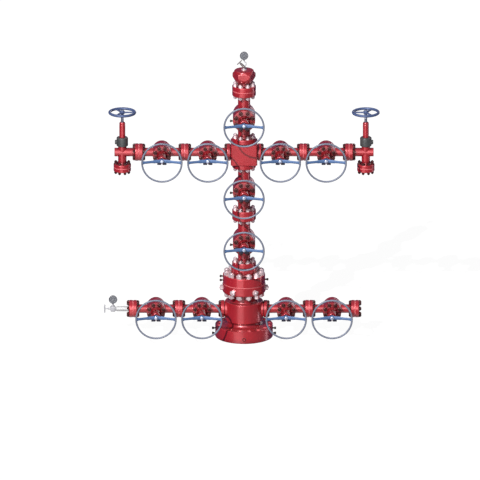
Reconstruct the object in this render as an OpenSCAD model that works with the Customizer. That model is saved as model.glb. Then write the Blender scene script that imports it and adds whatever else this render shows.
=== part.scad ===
// Flanged surface production tree on its tubing head.
// Origin: centre of the bottom flange's lower face. +Z runs up the well axis, -Y faces the handwheels.
// All sizes are in millimetres.

/* [Bottom flange of the tubing head] */
// Outer diameter of the bottom flange
base_flange_od = 654; // [640:1:700]
// Thickness of the bottom flange
base_flange_t = 141; // [130:1:160]
// Distance from the bottom flange's rim in to its bolt circle
base_bolt_inset = 44.4; // [40:0.1:50]
// Number of bolt holes in the bottom flange
base_bolt_count = 16; // [12:4:20]
// Diameter of each bolt hole in the bottom flange
base_bolt_hole_d = 47.8; // [40:0.1:50]
// Bore of the tubing head at its bottom face
base_bore_d = 279.4; // [240:0.1:300]
// Depth of that bottom bore
base_bore_depth = 150; // [100:1:180]
// Pitch diameter of the seal ring groove in the bottom face
base_groove_d = 340; // [330:1:380]

/* [Tubing head] */
// Diameter of the hub on top of the bottom flange
head_hub_d = 446; // [420:1:460]
// Narrowest diameter under the barrel
head_waist_d = 372; // [350:1:390]
// Height between the bottom flange and the barrel
head_waist_h = 53; // [45:1:70]
// Diameter of the barrel
head_barrel_d = 428; // [415:1:440]
// Height of the barrel
head_barrel_h = 227; // [215:1:260]
// Height of the outlet axis above the barrel's underside
head_outlet_h = 125.5; // [112:0.5:130]
// Distance that each outlet face stands out past the barrel's side
head_outlet_stand = 4; // [2:0.5:20]
// Diameter of the neck between the barrel and the top flange
head_neck_d = 306; // [290:1:320]
// Height of that neck
head_neck_h = 105; // [95:1:130]
// Diameter of the upper bore of the tubing head
head_bore_d = 180; // [160:1:200]

/* [Tubing head top flange and adapter] */
// Outer diameter of the adapter's flange
adapter_flange_od = 480; // [476:1:500]
// Distance that the tubing head's top flange stands out past the adapter's flange
head_flange_step = 5; // [3:0.5:10]
// Thickness of each of the two flanges
tubing_flange_t = 106.5; // [100:0.5:120]
// Distance from the adapter flange's rim in to the bolt circle
tubing_bolt_inset = 38.4; // [36:0.1:44]
// Number of studs in the two flanges
tubing_bolt_count = 12; // [8:4:12]
// Diameter of each stud hole in the two flanges
tubing_bolt_hole_d = 41; // [38:0.5:43]
// Diameter of the raised faces between the two flanges
tubing_raised_face_d = 302; // [280:1:320]
// Diameter of the adapter's hub
adapter_hub_d = 302; // [288:1:310]
// Height of the adapter's hub
adapter_hub_h = 90; // [80:1:120]

/* [Lockdown screws] */
// Number of lockdown screws
lockdown_count = 6; // [4:1:8]
// Size across the flats of each hexagonal gland
lockdown_gland_af = 56; // [44:1:60]
// Length of gland that stands out of its spot face
lockdown_gland_h = 30; // [20:1:40]
// Diameter of the screw itself
lockdown_screw_d = 26; // [18:1:30]
// Length of screw that stands out of its gland
lockdown_screw_h = 8; // [4:1:14]

/* [Main run valves] */
// Distance between the two end faces
main_face_to_face = 619; // [610:1:660]
// Outer diameter of the end flanges
main_flange_od = 270; // [266:1:280]
// Thickness of the end flanges
main_flange_t = 58.3; // [52:0.1:64]
// Distance from an end flange's rim in to its bolt circle
main_bolt_inset = 27.05; // [25:0.05:30]
// Diameter of each stud hole in the end flanges
main_bolt_hole_d = 29; // [26:0.5:30]
// Diameter of the raised faces
main_raised_face_d = 152; // [146:1:160]
// Diameter of the neck behind each end flange
main_neck_d = 140; // [132:1:146]
// Diameter of the body's barrel, whose axis runs front to back
main_barrel_d = 254; // [246:1:262]
// Distance from the flow axis to the bonnet joint
main_bonnet_plane = 96; // [94:1:104]
// Distance from the flow axis to the back of the body
main_back = 158; // [150:1:166]
// Bore through the valve
main_bore_d = 77.8; // [60:0.1:80]
// Thickness of the bonnet flange
main_bonnet_t = 44; // [40:1:50]
// Distance from the bonnet's rim in to its bolt circle
main_bonnet_inset = 24; // [22:0.5:28]
// Diameter of the bonnet neck
main_bonnet_neck_d = 96; // [88:1:104]
// Distance from the flow axis to the plane of the handwheel's rim
main_rim_plane = 433; // [430:1:450]

/* [Wing valves] */
// Distance between the two end faces
wing_face_to_face = 521; // [515:1:560]
// Outer diameter of the end flanges
wing_flange_od = 198; // [195:1:204]
// Thickness of the end flanges
wing_flange_t = 44.1; // [40:0.1:48]
// Distance from an end flange's rim in to its bolt circle
wing_bolt_inset = 19.6; // [18:0.1:23]
// Diameter of each stud hole in the end flanges
wing_bolt_hole_d = 22.4; // [20:0.1:23]
// Diameter of the raised faces
wing_raised_face_d = 111; // [106:1:118]
// Diameter of the neck behind each end flange
wing_neck_d = 98; // [92:1:104]
// Diameter of the body's barrel, whose axis runs front to back
wing_barrel_d = 212; // [206:1:220]
// Distance from the flow axis to the bonnet joint
wing_bonnet_plane = 82; // [80:1:88]
// Distance from the flow axis to the back of the body
wing_back = 152; // [146:1:158]
// Bore through the valve
wing_bore_d = 52.4; // [44:0.1:56]
// Thickness of the bonnet flange
wing_bonnet_t = 38; // [34:1:42]
// Distance from the bonnet's rim in to its bolt circle
wing_bonnet_inset = 18; // [17:0.5:22]
// Diameter of the bonnet neck
wing_bonnet_neck_d = 80; // [74:1:88]
// Distance from the flow axis to the plane of the handwheel's rim
wing_rim_plane = 405; // [402:1:430]

/* [Flanges and bonnets in general] */
// Height of each raised face, half the gap between two flange rims
raised_face_h = 5; // [3:0.5:7]
// Number of studs in each end flange and in each bonnet
stud_count = 8; // [6:2:8]
// Rounding at the back of a small flange
flange_edge_r = 9; // [5:1:12]
// Rounding at the back of a large flange
large_edge_r = 22; // [14:1:26]
// Rounding where a neck runs into a flange
neck_fillet_r = 14; // [8:1:18]
// Depth of the tapped holes in a studded face
tapped_depth = 36; // [28:1:38]
// Radial running clearance of a stem in its bore
stem_clearance = 0.05; // [0.02:0.01:0.1]

/* [Flow cross] */
// Half height of the block
cross_half_h = 119; // [119:1:135]
// Distance from the well axis to each side face
cross_half_w = 151; // [149:1:165]
// Distance from the well axis to the front face
cross_half_d = 141; // [139:1:148]
// Chamfer on the four upright edges
cross_chamfer = 12; // [6:1:20]

/* [Handwheels of the gate valves] */
// Diameter of the rim's centre line
wheel_rim_d = 450; // [430:1:456]
// Diameter of the rim's tube
wheel_tube_d = 21; // [18:1:24]
// Distance from the rim plane back to the middle of the hub
wheel_dish = 66; // [60:1:72]
// Diameter of the hub
wheel_hub_d = 84; // [76:1:92]
// Length of the hub
wheel_hub_l = 44; // [36:1:50]
// Height of a spoke at the hub
spoke_root_h = 46; // [40:1:52]
// Distance from the wheel's axis to the shoulder where a spoke grows narrow
spoke_shoulder_r = 98; // [80:1:110]
// Height of a spoke between its shoulder and the rim
spoke_tip_h = 24; // [20:1:28]
// Height of a spoke where it meets the rim
spoke_flare_h = 52; // [40:1:60]
// Thickness of a spoke
spoke_t = 15; // [12:1:18]
// Diameter of the stem
stem_d = 32; // [28:1:36]
// Length of stem that stands out of the hub
stem_nose_l = 9; // [5:1:14]
// Gap between the bonnet's end and the hub
hub_gap = 8; // [6:1:12]

/* [Chokes] */
// Distance from the inlet face to the choke's upright axis
choke_inlet_l = 189; // [184:1:210]
// Diameter of the choke's horizontal barrel
choke_barrel_d = 98; // [92:1:104]
// Distance from the upright axis to the blind end
choke_blind_l = 89; // [80:1:100]
// Diameter of the upright leg
choke_leg_d = 96; // [92:1:98]
// Distance from the horizontal axis down to the outlet face
choke_outlet_l = 179; // [170:1:190]
// Height of the collar's underside above the horizontal axis
choke_collar_z = 76; // [64:1:84]
// Height of the collar
choke_collar_h = 86; // [78:1:96]
// Diameter of the collar
choke_collar_d = 131; // [124:1:138]
// Diameter of the stem housing
choke_housing_d = 59; // [54:1:64]
// Height of the stem housing above the collar
choke_housing_h = 196; // [180:1:210]
// Diameter of the choke's stem
choke_stem_d = 28; // [24:1:30]
// Height from the housing's top to the middle of the handwheel
choke_stem_h = 114; // [96:1:130]
// Diameter of the choke handwheel's rim, measured at its centre line
choke_rim_d = 295; // [280:1:310]
// Diameter of that rim's tube
choke_tube_d = 23; // [19:1:26]
// Number of spokes
choke_spoke_count = 3; // [3:1:5]
// Bore of the threaded outlet flanges
outlet_thread_d = 60.3; // [50:0.1:62]

/* [Tree cap] */
// Thickness of the cap's flange
cap_flange_t = 58.3; // [52:0.1:64]
// Diameter of the cap's hub
cap_hub_d = 150; // [136:1:158]
// Height from the cap's flange to the underside of the bonnet nut
cap_hub_h = 46; // [44:1:60]
// Outer diameter of the bonnet nut
cap_nut_d = 256; // [246:1:264]
// Diameter of the nut's underside
cap_nut_foot_d = 190; // [180:1:200]
// Height of the nut's lower taper
cap_nut_taper_h = 58; // [46:1:66]
// Height of the nut's straight side
cap_nut_side_h = 50; // [40:1:60]
// Height of the nut's upper cone
cap_nut_cone_h = 30; // [22:1:36]
// Diameter of the nut's flat top
cap_nut_top_d = 150; // [140:1:160]
// Diameter of the small boss on top
cap_boss_d = 64; // [56:1:72]

/* [Needle valves and gauges] */
// Outer diameter of a gauge
gauge_d = 97; // [90:1:104]
// Depth of a gauge's case
gauge_t = 36; // [30:1:44]
// Length of the square socket under a gauge
gauge_socket_h = 8; // [5:1:12]
// Diameter of the pipe nipple at the left casing outlet
nipple_d = 60; // [50:1:60.3]
// Length of that nipple outside its flange
nipple_l = 152; // [140:1:180]
// Width and height of the needle valve's block
needle_block_w = 62; // [56:1:68]
// Diameter of the needle valve's bonnet
needle_bonnet_d = 24; // [20:1:30]
// Length of that bonnet
needle_bonnet_l = 30; // [24:1:36]
// Diameter of the needle stem
needle_stem_d = 12; // [10:1:14]
// Length of the T handle's bar
needle_bar_l = 100; // [80:1:110]
// Diameter of the T handle's bar
needle_bar_d = 16; // [12:1:20]
// Height of the gauge's centre above the needle valve's axis
gauge_rise = 111; // [104:1:130]
// Height of the cap gauge's centre above the bonnet nut
cap_gauge_rise = 170; // [160:1:190]

/* [Grease and test fittings] */
// Diameter of a fitting's shank
fitting_shank_d = 15; // [12:1:18]
// Diameter of a fitting's head
fitting_head_d = 27; // [22:1:32]
// Length of a fitting outside its seat
fitting_l = 38; // [30:1:44]

/* [Hidden] */
$fn = 64;
eps = 0.01;
socket_depth = 10;
// Depth at which a handwheel's stem begins behind the face of its bonnet joint
stem_foot = 14;
// Height above a collar's foot at which a choke's stem begins, and the stem above its hub
choke_stem_foot = 32;
choke_stem_nose = 8;
// Angle at which the domed back of a valve body's outline begins
dome_start = 290;
// Distance from the end of the needle valve's bonnet to its T bar
needle_bar_gap = 26;
// Heights of the test fittings on the bottom flange, and of the port at its front
base_fitting_zs = [30, 90];
front_port_z = 52;
// Heights of the injection fittings above the adapter flange's joint, left and right
adapter_left_zs = [28, 76];
adapter_right_zs = [37];
wing_names = ["left_outer", "left_inner", "right_inner", "right_outer"];

// Levels up the well axis
z_waist = base_flange_t;
z_barrel = z_waist + head_waist_h;
z_ledge = z_barrel + head_barrel_h;
z_head_flange = z_ledge + head_neck_h;
z_head_top = z_head_flange + tubing_flange_t;
z_adapter_hub = z_head_top + tubing_flange_t;
z_adapter_top = z_adapter_hub + adapter_hub_h;
z_lower_master = z_adapter_top + main_face_to_face / 2;
z_upper_master = z_lower_master + main_face_to_face;
z_cross = z_upper_master + main_face_to_face / 2 + cross_half_h;
z_swab = z_cross + cross_half_h + main_face_to_face / 2;
z_cap = z_swab + main_face_to_face / 2;
z_cap_nut = z_cap + cap_flange_t + cap_hub_h;
cap_nut_h = cap_nut_taper_h + cap_nut_side_h + cap_nut_cone_h;
z_cap_top = z_cap_nut + cap_nut_h;
z_casing = z_barrel + head_outlet_h;

// Bolt circles, the head's top flange and its outlet faces
base_bolt_circle = base_flange_od - 2 * base_bolt_inset;
tubing_bolt_circle = adapter_flange_od - 2 * tubing_bolt_inset;
main_bolt_circle = main_flange_od - 2 * main_bolt_inset;
main_bonnet_circle = main_barrel_d - 2 * main_bonnet_inset;
wing_bolt_circle = wing_flange_od - 2 * wing_bolt_inset;
wing_bonnet_circle = wing_barrel_d - 2 * wing_bonnet_inset;
head_flange_od = adapter_flange_od + 2 * head_flange_step;
head_outlet_reach = head_barrel_d / 2 + head_outlet_stand;

// Places along the two arms, as distances from the well axis
wing_inner_x = cross_half_w + wing_face_to_face / 2;
wing_outer_x = wing_inner_x + wing_face_to_face;
wing_end_x = wing_outer_x + wing_face_to_face / 2;
casing_inner_x = head_outlet_reach + wing_face_to_face / 2;
casing_outer_x = casing_inner_x + wing_face_to_face;
casing_end_x = casing_outer_x + wing_face_to_face / 2;
choke_x = wing_end_x + choke_inlet_l;
wing_xs = [-wing_outer_x, -wing_inner_x, wing_inner_x, wing_outer_x];
casing_xs = [-casing_outer_x, -casing_inner_x, casing_inner_x, casing_outer_x];

// Bonnet and stem lengths, measured forwards from the flow axis
function hub_back(rim_plane) = rim_plane - wheel_dish - wheel_hub_l / 2;
function bonnet_end(rim_plane) = hub_back(rim_plane) - hub_gap;

// Choke levels
choke_collar_top = choke_collar_z + choke_collar_h;
choke_housing_top = choke_collar_top + choke_housing_h;
choke_wheel_z = choke_housing_top + choke_stem_h;

// Needle valve places
nipple_end_x = casing_end_x + wing_flange_t + nipple_l;
needle_x = nipple_end_x + needle_block_w / 2;
needle_bonnet_x = nipple_end_x + needle_block_w;
needle_tip_x = needle_bonnet_x + needle_bonnet_l;
needle_bar_x = needle_tip_x + needle_bar_gap + needle_bar_d / 2;

// Cap needle valve, tilted up to the left
cap_tilt = 45;
cap_valve_rise = 36;
cap_block_d = 34;
cap_bonnet_l = 34;
cap_stem_l = 22;
cap_bar_l = 78;
cap_bar_d = 12;
cap_pipe_d = 12;

// Points on an arc, from angle a0 to a1 in n steps
function arc(cx, cy, r, a0, a1, n = 6) =
  [for (i = [0:n]) let(a = a0 + (a1 - a0) * i / n) [cx + r * cos(a), cy + r * sin(a)]];

// Disc flange, mating face at z = 0 and back at z = t, with a raised face and a rounded back edge
module flange_disc(od, t, face_d, edge_r) {
  chamfer = 3;
  rotate_extrude()
    polygon(concat(
      [[0, 0], [face_d / 2, 0], [face_d / 2, raised_face_h], [od / 2 - chamfer, raised_face_h]],
      [[od / 2, raised_face_h + chamfer]],
      arc(od / 2 - edge_r, t - edge_r, edge_r, 0, 90),
      [[0, t]]));
}

// Round neck from z0 to z1 that flares into the faces at both ends
module flared_neck(d, z0, z1, r0, r1) {
  rotate_extrude()
    polygon(concat(
      [[0, z0]],
      arc(d / 2 + r0, z0 + r0, r0, 270, 180),
      arc(d / 2 + r1, z1 - r1, r1, 180, 90),
      [[0, z1]]));
}

// Ring of upright holes, half a pitch off the front
module hole_ring(count, circle_d, hole_d, z0, z1) {
  for (i = [0:count - 1])
    rotate([0, 0, (i + 0.5) * 360 / count])
      translate([circle_d / 2, 0, z0])
        cylinder(d = hole_d, h = z1 - z0, $fn = 24);
}

// One end of a valve, with its flange face at z = length
module valve_end(length, flange_od, flange_t, face_d, neck_d) {
  translate([0, 0, length])
    mirror([0, 0, 1])
      flange_disc(flange_od, flange_t, face_d, flange_edge_r);
  flared_neck(neck_d, 0, length - flange_t + eps, 0.5, neck_fillet_r);
}

// Gate valve body: flow along Z, bonnet joint facing -Y
module valve_body(length, flange_od, flange_t, circle_d, hole_d, face_d, neck_d,
                  barrel_d, front, back, bore_d) {
  dome_r = barrel_d * 0.26;
  difference() {
    union() {
      for (side = [0, 1])
        mirror([0, 0, side])
          valve_end(length / 2, flange_od, flange_t, face_d, neck_d);
      rotate([90, 0, 0])
        rotate_extrude()
          polygon(concat(
            [[0, front], [0, -back]],
            [for (p = arc(barrel_d / 2 - dome_r, -back + dome_r, dome_r, dome_start, 360, 8)) p],
            [[barrel_d / 2, front]]));
    }
    translate([0, 0, -length / 2 - 1])
      cylinder(d = bore_d, h = length + 2);
    for (side = [0, 1])
      mirror([0, 0, side])
        hole_ring(stud_count, circle_d, hole_d, length / 2 - flange_t - 1, length / 2 + 1);
  }
}

// Valve bonnet: bolted flange, tapering neck and bearing cap, with the stem bore open to the front
module valve_bonnet(barrel_d, plane, flange_t, circle_d, neck_d, rim_plane) {
  end = bonnet_end(rim_plane);
  face = plane + flange_t;
  cone_l = 34;
  cap_l = 46;
  cap_d = neck_d + 12;
  edge = 6;
  stud_hole_d = 22;
  difference() {
    rotate([90, 0, 0])
      rotate_extrude()
        polygon(concat(
          [[0, plane], [barrel_d / 2, plane]],
          arc(barrel_d / 2 - edge, face - edge, edge, 0, 90),
          [[neck_d / 2 + 16, face], [neck_d / 2, face + cone_l], [neck_d / 2, end - cap_l]],
          [[cap_d / 2, end - cap_l + 6], [cap_d / 2, end - edge], [cap_d / 2 - edge, end], [0, end]]));
    rotate([90, 0, 0])
      translate([0, 0, plane + stem_foot - 2])
        cylinder(d = stem_d + 2 * stem_clearance, h = end - plane);
    rotate([90, 0, 0])
      hole_ring(stud_count, circle_d, stud_hole_d, plane - 1, face + 1);
  }
}

// Gate valve handwheel with its stem, turning about Y
module gate_handwheel(plane, rim_plane) {
  back = hub_back(rim_plane);
  front = back + wheel_hub_l;
  rim_r = wheel_rim_d / 2;
  hub_r = wheel_hub_d / 2;
  tube_in = wheel_tube_d * 0.3;
  hub_mid = (back + front) / 2;
  union() {
    translate([0, -rim_plane, 0])
      rotate([90, 0, 0])
        rotate_extrude($fn = 96)
          translate([rim_r, 0])
            circle(d = wheel_tube_d, $fn = 32);
    rotate([90, 0, 0])
      translate([0, 0, back])
        rotate_extrude()
          polygon([[0, 0], [hub_r - 6, 0], [hub_r, 6], [hub_r, wheel_hub_l - 14],
                   [hub_r - 14, wheel_hub_l], [0, wheel_hub_l]]);
    for (side = [0, 1])
      mirror([side, 0, 0])
        intersection() {
          rotate([90, 0, 0])
            linear_extrude(rim_plane + wheel_tube_d)
              spoke_outline(rim_r, tube_in);
          translate([0, 0, -spoke_root_h])
            linear_extrude(2 * spoke_root_h)
              dished_strip(hub_r * 0.7, hub_mid, rim_r, rim_plane, tube_in);
        }
    rotate([90, 0, 0])
      translate([0, 0, plane + stem_foot])
        cylinder(d = stem_d, h = front + stem_nose_l - plane - stem_foot);
  }
}

// Front outline of one spoke: wide root, shoulder, narrow arm and a flare at the rim
module spoke_outline(rim_r, tube_in) {
  root = spoke_root_h / 2;
  tip = spoke_tip_h / 2;
  flare = spoke_flare_h / 2;
  narrow_r = spoke_shoulder_r + root - tip;
  flare_r = rim_r - wheel_tube_d;
  upper = [[0, root], [spoke_shoulder_r, root], [narrow_r, tip], [flare_r, tip], [rim_r + tube_in, flare]];
  polygon(concat(upper, [for (i = [len(upper) - 1:-1:0]) [upper[i].x, -upper[i].y]]));
}

// Plan of one spoke: a strip that runs from the hub forwards to the rim
module dished_strip(root_r, hub_mid, rim_r, rim_plane, tube_in) {
  line = [[0, hub_mid], [root_r, hub_mid], [rim_r - tube_in, rim_plane], [rim_r + tube_in, rim_plane]];
  polygon(concat(
    [for (p = line) [p.x, -p.y + spoke_t / 2]],
    [for (i = [len(line) - 1:-1:0]) [line[i].x, -line[i].y - spoke_t / 2]]));
}

// Turn a valve whose flow runs along Z so that it runs along X
module along_x() {
  rotate([0, 90, 0])
    children();
}

module main_valve_body(z) {
  color("firebrick")
    translate([0, 0, z])
      valve_body(main_face_to_face, main_flange_od, main_flange_t, main_bolt_circle, main_bolt_hole_d,
                 main_raised_face_d, main_neck_d, main_barrel_d, main_bonnet_plane, main_back, main_bore_d);
}

module main_valve_bonnet(z) {
  color("firebrick")
    translate([0, 0, z])
      difference() {
        valve_bonnet(main_barrel_d, main_bonnet_plane, main_bonnet_t, main_bonnet_circle,
                     main_bonnet_neck_d, main_rim_plane);
        bonnet_fitting_place()
          fitting_socket();
      }
}

module main_valve_handwheel(z) {
  color("slateblue")
    translate([0, 0, z])
      gate_handwheel(main_bonnet_plane, main_rim_plane);
}

module side_valve_body(x, z) {
  color("firebrick")
    translate([x, 0, z])
      along_x()
        valve_body(wing_face_to_face, wing_flange_od, wing_flange_t, wing_bolt_circle, wing_bolt_hole_d,
                   wing_raised_face_d, wing_neck_d, wing_barrel_d, wing_bonnet_plane, wing_back, wing_bore_d);
}

module side_valve_bonnets(xs, z) {
  color("firebrick")
    for (x = xs)
      translate([x, 0, z])
        valve_bonnet(wing_barrel_d, wing_bonnet_plane, wing_bonnet_t, wing_bonnet_circle,
                     wing_bonnet_neck_d, wing_rim_plane);
}

module side_valve_handwheel(x, z) {
  color("slateblue")
    translate([x, 0, z])
      gate_handwheel(wing_bonnet_plane, wing_rim_plane);
}

// Tubing head: bottom flange, barrel with two studded outlets, neck and top flange in one forging
module tubing_head() {
  waist_r = head_waist_d / 2;
  hub_r = head_hub_d / 2;
  barrel_r = head_barrel_d / 2;
  barrel_edge = 12;
  ledge_edge = 8;
  rim_chamfer = 4;
  top_face_r = tubing_raised_face_d / 2;
  color("firebrick")
    difference() {
      union() {
        rotate_extrude()
          polygon(concat(
            [[0, 0], [base_flange_od / 2 - rim_chamfer, 0], [base_flange_od / 2, rim_chamfer]],
            [[base_flange_od / 2, z_waist - rim_chamfer], [base_flange_od / 2 - rim_chamfer, z_waist]],
            arc(hub_r, z_waist + (hub_r - waist_r), hub_r - waist_r, 270, 180),
            [[waist_r, z_barrel]],
            arc(barrel_r - barrel_edge, z_barrel + barrel_edge, barrel_edge, 270, 360),
            arc(barrel_r - ledge_edge, z_ledge - ledge_edge, ledge_edge, 0, 90),
            arc(head_neck_d / 2 + neck_fillet_r, z_ledge + neck_fillet_r, neck_fillet_r, 270, 180),
            [[head_neck_d / 2, z_head_flange]],
            arc(head_flange_od / 2 - large_edge_r, z_head_flange + large_edge_r, large_edge_r, 270, 360),
            [[head_flange_od / 2, z_head_top - raised_face_h - rim_chamfer]],
            [[head_flange_od / 2 - rim_chamfer, z_head_top - raised_face_h]],
            [[top_face_r, z_head_top - raised_face_h], [top_face_r, z_head_top], [0, z_head_top]]));
        for (side = [0, 1])
          mirror([side, 0, 0])
            translate([0, 0, z_casing])
              along_x()
                cylinder(d = wing_flange_od, h = head_outlet_reach);
      }
      translate([0, 0, -1])
        cylinder(d = base_bore_d, h = base_bore_depth + 1);
      cylinder(d = head_bore_d, h = z_head_top + 1);
      translate([0, 0, -1])
        difference() {
          cylinder(d = base_groove_d + 17, h = 12);
          cylinder(d = base_groove_d - 17, h = 12);
        }
      hole_ring(base_bolt_count, base_bolt_circle, base_bolt_hole_d, -1, z_waist + 1);
      hole_ring(tubing_bolt_count, tubing_bolt_circle, tubing_bolt_hole_d, z_head_flange - 1, z_head_top + 1);
      for (side = [0, 1])
        mirror([side, 0, 0])
          translate([0, 0, z_casing])
            along_x()
              studded_outlet(head_outlet_reach);
      lockdown_places()
        spot_face_cut();
      base_fitting_places()
        fitting_socket();
      front_port_place()
        union() {
          fitting_socket();
          cylinder(d = fitting_head_d, h = 4, $fn = 24);
        }
    }
}

// Flow bore and tapped holes of a studded side outlet whose face is at z = reach
module studded_outlet(reach) {
  cylinder(d = wing_bore_d, h = reach + 1);
  hole_ring(stud_count, wing_bolt_circle, wing_bolt_hole_d, reach - tapped_depth, reach + 1);
}

// Tubing head adapter: large flange below, studded face above
module tubing_head_adapter() {
  hub_r = adapter_hub_d / 2;
  color("firebrick")
    difference() {
      union() {
        translate([0, 0, z_head_top])
          flange_disc(adapter_flange_od, tubing_flange_t, tubing_raised_face_d, flange_edge_r);
        rotate_extrude()
          polygon(concat(
            [[0, z_adapter_hub - eps]],
            arc(hub_r + neck_fillet_r, z_adapter_hub + neck_fillet_r, neck_fillet_r, 270, 180),
            [[hub_r, z_adapter_top - 6], [hub_r - 6, z_adapter_top], [0, z_adapter_top]]));
      }
      translate([0, 0, z_head_top - 1])
        cylinder(d = main_bore_d, h = z_adapter_top - z_head_top + 2);
      hole_ring(tubing_bolt_count, tubing_bolt_circle, tubing_bolt_hole_d,
                z_head_top - 1, z_adapter_hub + 1);
      hole_ring(stud_count, main_bolt_circle, main_bolt_hole_d,
                z_adapter_top - tapped_depth, z_adapter_top + 1);
      adapter_fitting_places()
        fitting_socket();
    }
}

// Flow cross: chamfered block with four studded faces
module flow_cross() {
  w = cross_half_w;
  d = cross_half_d;
  c = cross_chamfer;
  color("indianred")
    difference() {
      translate([0, 0, z_cross - cross_half_h])
        linear_extrude(2 * cross_half_h)
          polygon([[-w + c, -d], [w - c, -d], [w, -d + c], [w, d - c],
                   [w - c, d], [-w + c, d], [-w, d - c], [-w, -d + c]]);
      translate([0, 0, z_cross - cross_half_h - 1])
        cylinder(d = main_bore_d, h = 2 * cross_half_h + 2);
      for (side = [0, 1])
        translate([0, 0, z_cross])
          mirror([0, 0, side])
            hole_ring(stud_count, main_bolt_circle, main_bolt_hole_d,
                      cross_half_h - tapped_depth, cross_half_h + 1);
      for (side = [0, 1])
        mirror([side, 0, 0])
          translate([0, 0, z_cross])
            along_x()
              studded_outlet(cross_half_w);
    }
}

// Choke body: side inlet flange, blind end, upright leg and bottom outlet flange
module choke_body(side) {
  color("firebrick")
    mirror([side, 0, 0])
      translate([choke_x, 0, z_cross])
        difference() {
          union() {
            mirror([1, 0, 0])
              along_x()
                valve_end(choke_inlet_l, wing_flange_od, wing_flange_t, wing_raised_face_d, choke_barrel_d);
            along_x()
              rotate_extrude()
                polygon([[0, 0], [choke_barrel_d / 2, 0], [choke_barrel_d / 2, choke_blind_l - 3],
                         [choke_barrel_d / 2 - 3, choke_blind_l], [0, choke_blind_l]]);
            mirror([0, 0, 1])
              valve_end(choke_outlet_l, wing_flange_od, wing_flange_t, wing_raised_face_d, choke_leg_d);
            cylinder(d = choke_leg_d, h = choke_collar_z);
          }
          mirror([1, 0, 0])
            along_x()
              cylinder(d = wing_bore_d, h = choke_inlet_l + 1);
          translate([0, 0, -choke_outlet_l - 1])
            cylinder(d = wing_bore_d, h = choke_outlet_l + 1);
          mirror([1, 0, 0])
            along_x()
              hole_ring(stud_count, wing_bolt_circle, wing_bolt_hole_d,
                        choke_inlet_l - wing_flange_t - 1, choke_inlet_l + 1);
          mirror([0, 0, 1])
            hole_ring(stud_count, wing_bolt_circle, wing_bolt_hole_d,
                      choke_outlet_l - wing_flange_t - 1, choke_outlet_l + 1);
        }
}

// Hammer collars that hold the stem housings on the choke bodies, each with one lug outwards
module choke_collars() {
  r = choke_collar_d / 2;
  foot_r = choke_leg_d / 2 + 5;
  lug_w = 34;
  lug_h = 46;
  lug_reach = r + 19;
  color("dimgray")
    for (side = [0, 1])
      mirror([side, 0, 0])
        translate([choke_x, 0, z_cross + choke_collar_z])
          difference() {
            union() {
              rotate_extrude()
                polygon([[0, 0], [foot_r, 0], [r, 16], [r, choke_collar_h - 9],
                         [r - 9, choke_collar_h], [0, choke_collar_h]]);
              translate([0, -lug_w / 2, (choke_collar_h - lug_h) / 2])
                cube([lug_reach, lug_w, lug_h]);
            }
            translate([0, 0, -1])
              cylinder(d = choke_housing_d, h = choke_collar_h + 2);
          }
}

// Tall housings that guide the choke stems
module choke_stem_housings() {
  r = choke_housing_d / 2;
  h = choke_collar_h + choke_housing_h;
  color("firebrick")
    for (side = [0, 1])
      mirror([side, 0, 0])
        translate([choke_x, 0, z_cross + choke_collar_z])
          difference() {
            rotate_extrude()
              polygon([[0, 0], [r, 0], [r, h - 12], [r - 8, h], [0, h]]);
            translate([0, 0, choke_stem_foot - 2])
              cylinder(d = choke_stem_d + 2 * stem_clearance, h = h);
          }
}

// Horizontal choke handwheel with its stem; one spoke points to the well
module choke_handwheel(side) {
  rim_r = choke_rim_d / 2;
  hub_r = 24;
  hub_h = 40;
  root_w = 26;
  tip_w = 17;
  arm_t = 12;
  tube_in = choke_tube_d * 0.3;
  color("slateblue")
    mirror([side, 0, 0])
      translate([choke_x, 0, z_cross + choke_wheel_z])
        union() {
          rotate_extrude($fn = 96)
            translate([rim_r, 0])
              circle(d = choke_tube_d, $fn = 32);
          translate([0, 0, -hub_h / 2])
            cylinder(r1 = hub_r - 4, r2 = hub_r, h = hub_h);
          for (i = [0:choke_spoke_count - 1])
            rotate([0, 0, 180 + i * 360 / choke_spoke_count])
              translate([0, 0, -arm_t / 2])
                linear_extrude(arm_t)
                  polygon([[0, -root_w / 2], [rim_r + tube_in, -tip_w / 2],
                           [rim_r + tube_in, tip_w / 2], [0, root_w / 2]]);
          translate([0, 0, choke_collar_z + choke_stem_foot - choke_wheel_z])
            cylinder(d = choke_stem_d,
                     h = choke_wheel_z - choke_collar_z - choke_stem_foot + hub_h / 2 + choke_stem_nose);
        }
}

// Threaded outlet flange, mating face at z = 0, threaded hub away from it
module threaded_flange(bore_d) {
  hub_l = 6;
  hub_r = wing_neck_d / 2;
  difference() {
    union() {
      flange_disc(wing_flange_od, wing_flange_t, wing_raised_face_d, flange_edge_r);
      translate([0, 0, wing_flange_t - eps])
        cylinder(r1 = hub_r, r2 = hub_r - 3, h = hub_l);
    }
    translate([0, 0, -1])
      cylinder(d = bore_d, h = wing_flange_t + hub_l + 2);
    hole_ring(stud_count, wing_bolt_circle, wing_bolt_hole_d, -1, wing_flange_t + 1);
  }
}

module choke_outlet_flanges() {
  color("firebrick")
    for (side = [0, 1])
      mirror([side, 0, 0])
        translate([choke_x, 0, z_cross - choke_outlet_l])
          mirror([0, 0, 1])
            threaded_flange(outlet_thread_d);
}

module casing_companion_flange() {
  color("firebrick")
    translate([casing_end_x, 0, z_casing])
      along_x()
        threaded_flange(outlet_thread_d);
}

module casing_gauge_flange() {
  color("firebrick")
    mirror([1, 0, 0])
      translate([casing_end_x, 0, z_casing])
        along_x()
          threaded_flange(nipple_d);
}

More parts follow.
